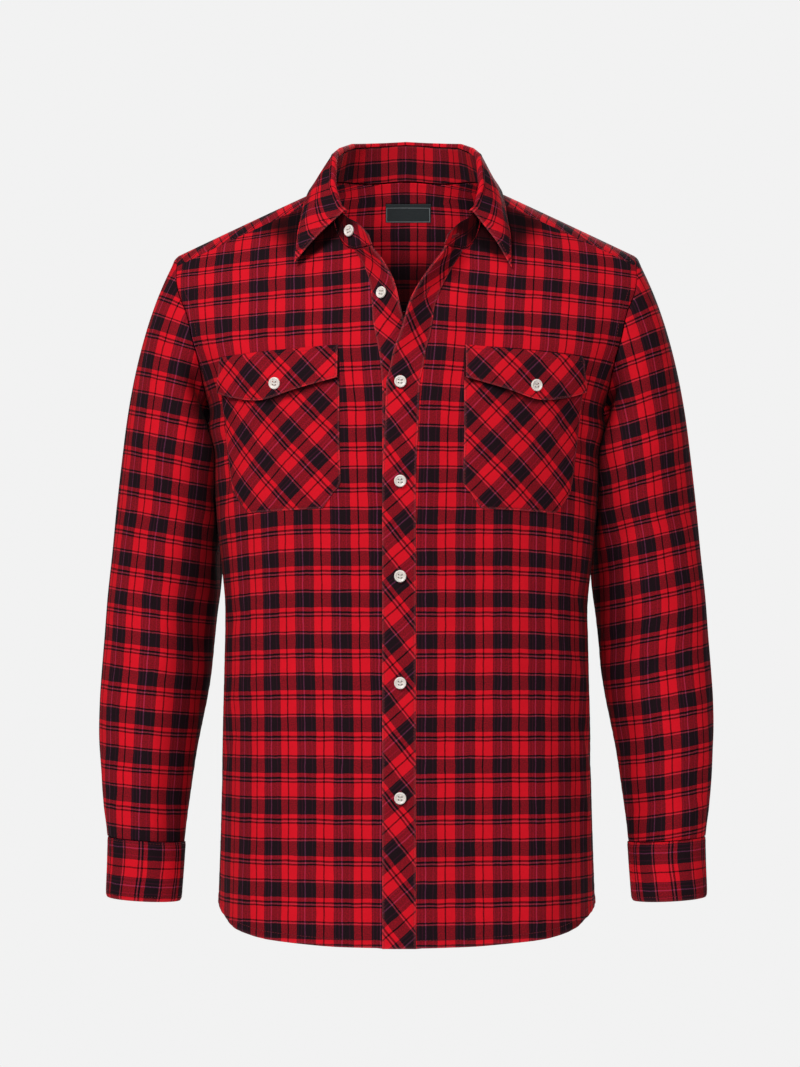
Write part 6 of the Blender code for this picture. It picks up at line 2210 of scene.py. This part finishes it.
def buttonhole(points, faces, at, normal, along):
    """Satin stitches down both sides of a slit, and a bar across each end."""
    across = unit(np.cross(normal, along))
    frame_of = np.stack([across, np.cross(across, normal), normal])
    half = BUTTONHOLE / 2
    count = int(BUTTONHOLE / SATIN_PITCH)
    for k in range(count):
        y = -half + (k + 0.5) * BUTTONHOLE / count
        bar = abs(y) > half - BUTTONHOLE_BAR
        spans = [(-1.15, 1.15)] if bar else [(-1.0, -0.16), (0.16, 1.0)]
        for low, high in spans:
            path = []
            for share in (0.0, 0.25, 0.5, 0.75, 1.0):
                x = (low + (high - low) * share) * BUTTONHOLE_WIDE / 2
                lift = 0.00005 + 0.00028 * math.sin(math.pi * share)
                path.append(at + np.array((x, y, lift)) @ frame_of)
            tube(points, faces, path, SATIN_RADIUS, 4)


def dress_buttonholes():
    points, faces = [], []
    for _, foot, normal, _, way in button_places():
        if way is not None:
            buttonhole(points, faces, foot - normal * (BUTTON_GAP - HOLE_LIFT), normal, way)
    # the open ones: near the placket's top, and on the stand's left end
    top = np.array(BAND_BUTTON[1])
    point, normal = on_front(float(strip_x(top, STRIP_WIDTH / 2, 1)), float(top), 1)
    lean = on_front(float(strip_x(top + 0.004, STRIP_WIDTH / 2, 1)), float(top) + 0.004, 1)[0] - point
    buttonhole(points, faces, point + normal * (LAY_GAP + STRIP + HOLE_LIFT), normal, lean)
    cell = np.array(STAND_CELLS - 1.6)
    row = np.array(0.5 * STAND_ROWS)
    point, normal = sample(stand_grid, cell, row, -1, STAND_CELLS, STAND_ROWS)
    ahead = stand_grid(cell + 0.2, row)
    buttonhole(points, faces, point + normal * HOLE_LIFT, normal, ahead - point)
    holes = raw_mesh("buttonholes", points, faces, MATERIALS["thread"])
    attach(holes, "root")


# Floor

FLOOR_LEVEL = -1.45
FLOOR_RADIUS = 2.3
FLOOR_RINGS = 12
FLOOR_TURNS = 64


def make_floor():
    points, faces = [(0.0, 0.0, FLOOR_LEVEL)], []
    for ring in range(1, FLOOR_RINGS + 1):
        for k in range(FLOOR_TURNS):
            angle = 2 * math.pi * k / FLOOR_TURNS
            radius = FLOOR_RADIUS * ring / FLOOR_RINGS
            points.append((radius * math.cos(angle), radius * math.sin(angle), FLOOR_LEVEL))
    faces = [[0, 1 + k, 1 + (k + 1) % FLOOR_TURNS] for k in range(FLOOR_TURNS)]
    faces += skin(1, FLOOR_RINGS, FLOOR_TURNS)
    t = Tree("floor")
    tint = t.mix(t.noise(t.place(), 3.0, 3.0), linear(232, 232, 232), linear(240, 240, 240))
    raw_mesh("floor", points, faces, t.material(tint, None, Roughness=0.9))


def both(dress_side):
    for side in WORD:
        dress_side(side)


def main():
    make_camera()
    make_lights()
    make_floor()
    MATERIALS["flannel"] = flannel("brushed_flannel")
    MATERIALS["thread"] = thread("sewing_thread", (120, 20, 32))
    MATERIALS["button_thread"] = thread("button_thread", (206, 196, 188))
    MATERIALS["button"] = shell_button("resin_button")
    MATERIALS["label"] = woven_label("damask_label")
    both(dress_front)
    dress_back()
    dress_yoke()
    both(dress_sleeve)
    both(dress_cuff)
    dress_collar()
    both(dress_pocket)
    dress_label()
    dress_buttons()
    dress_buttonholes()


main()
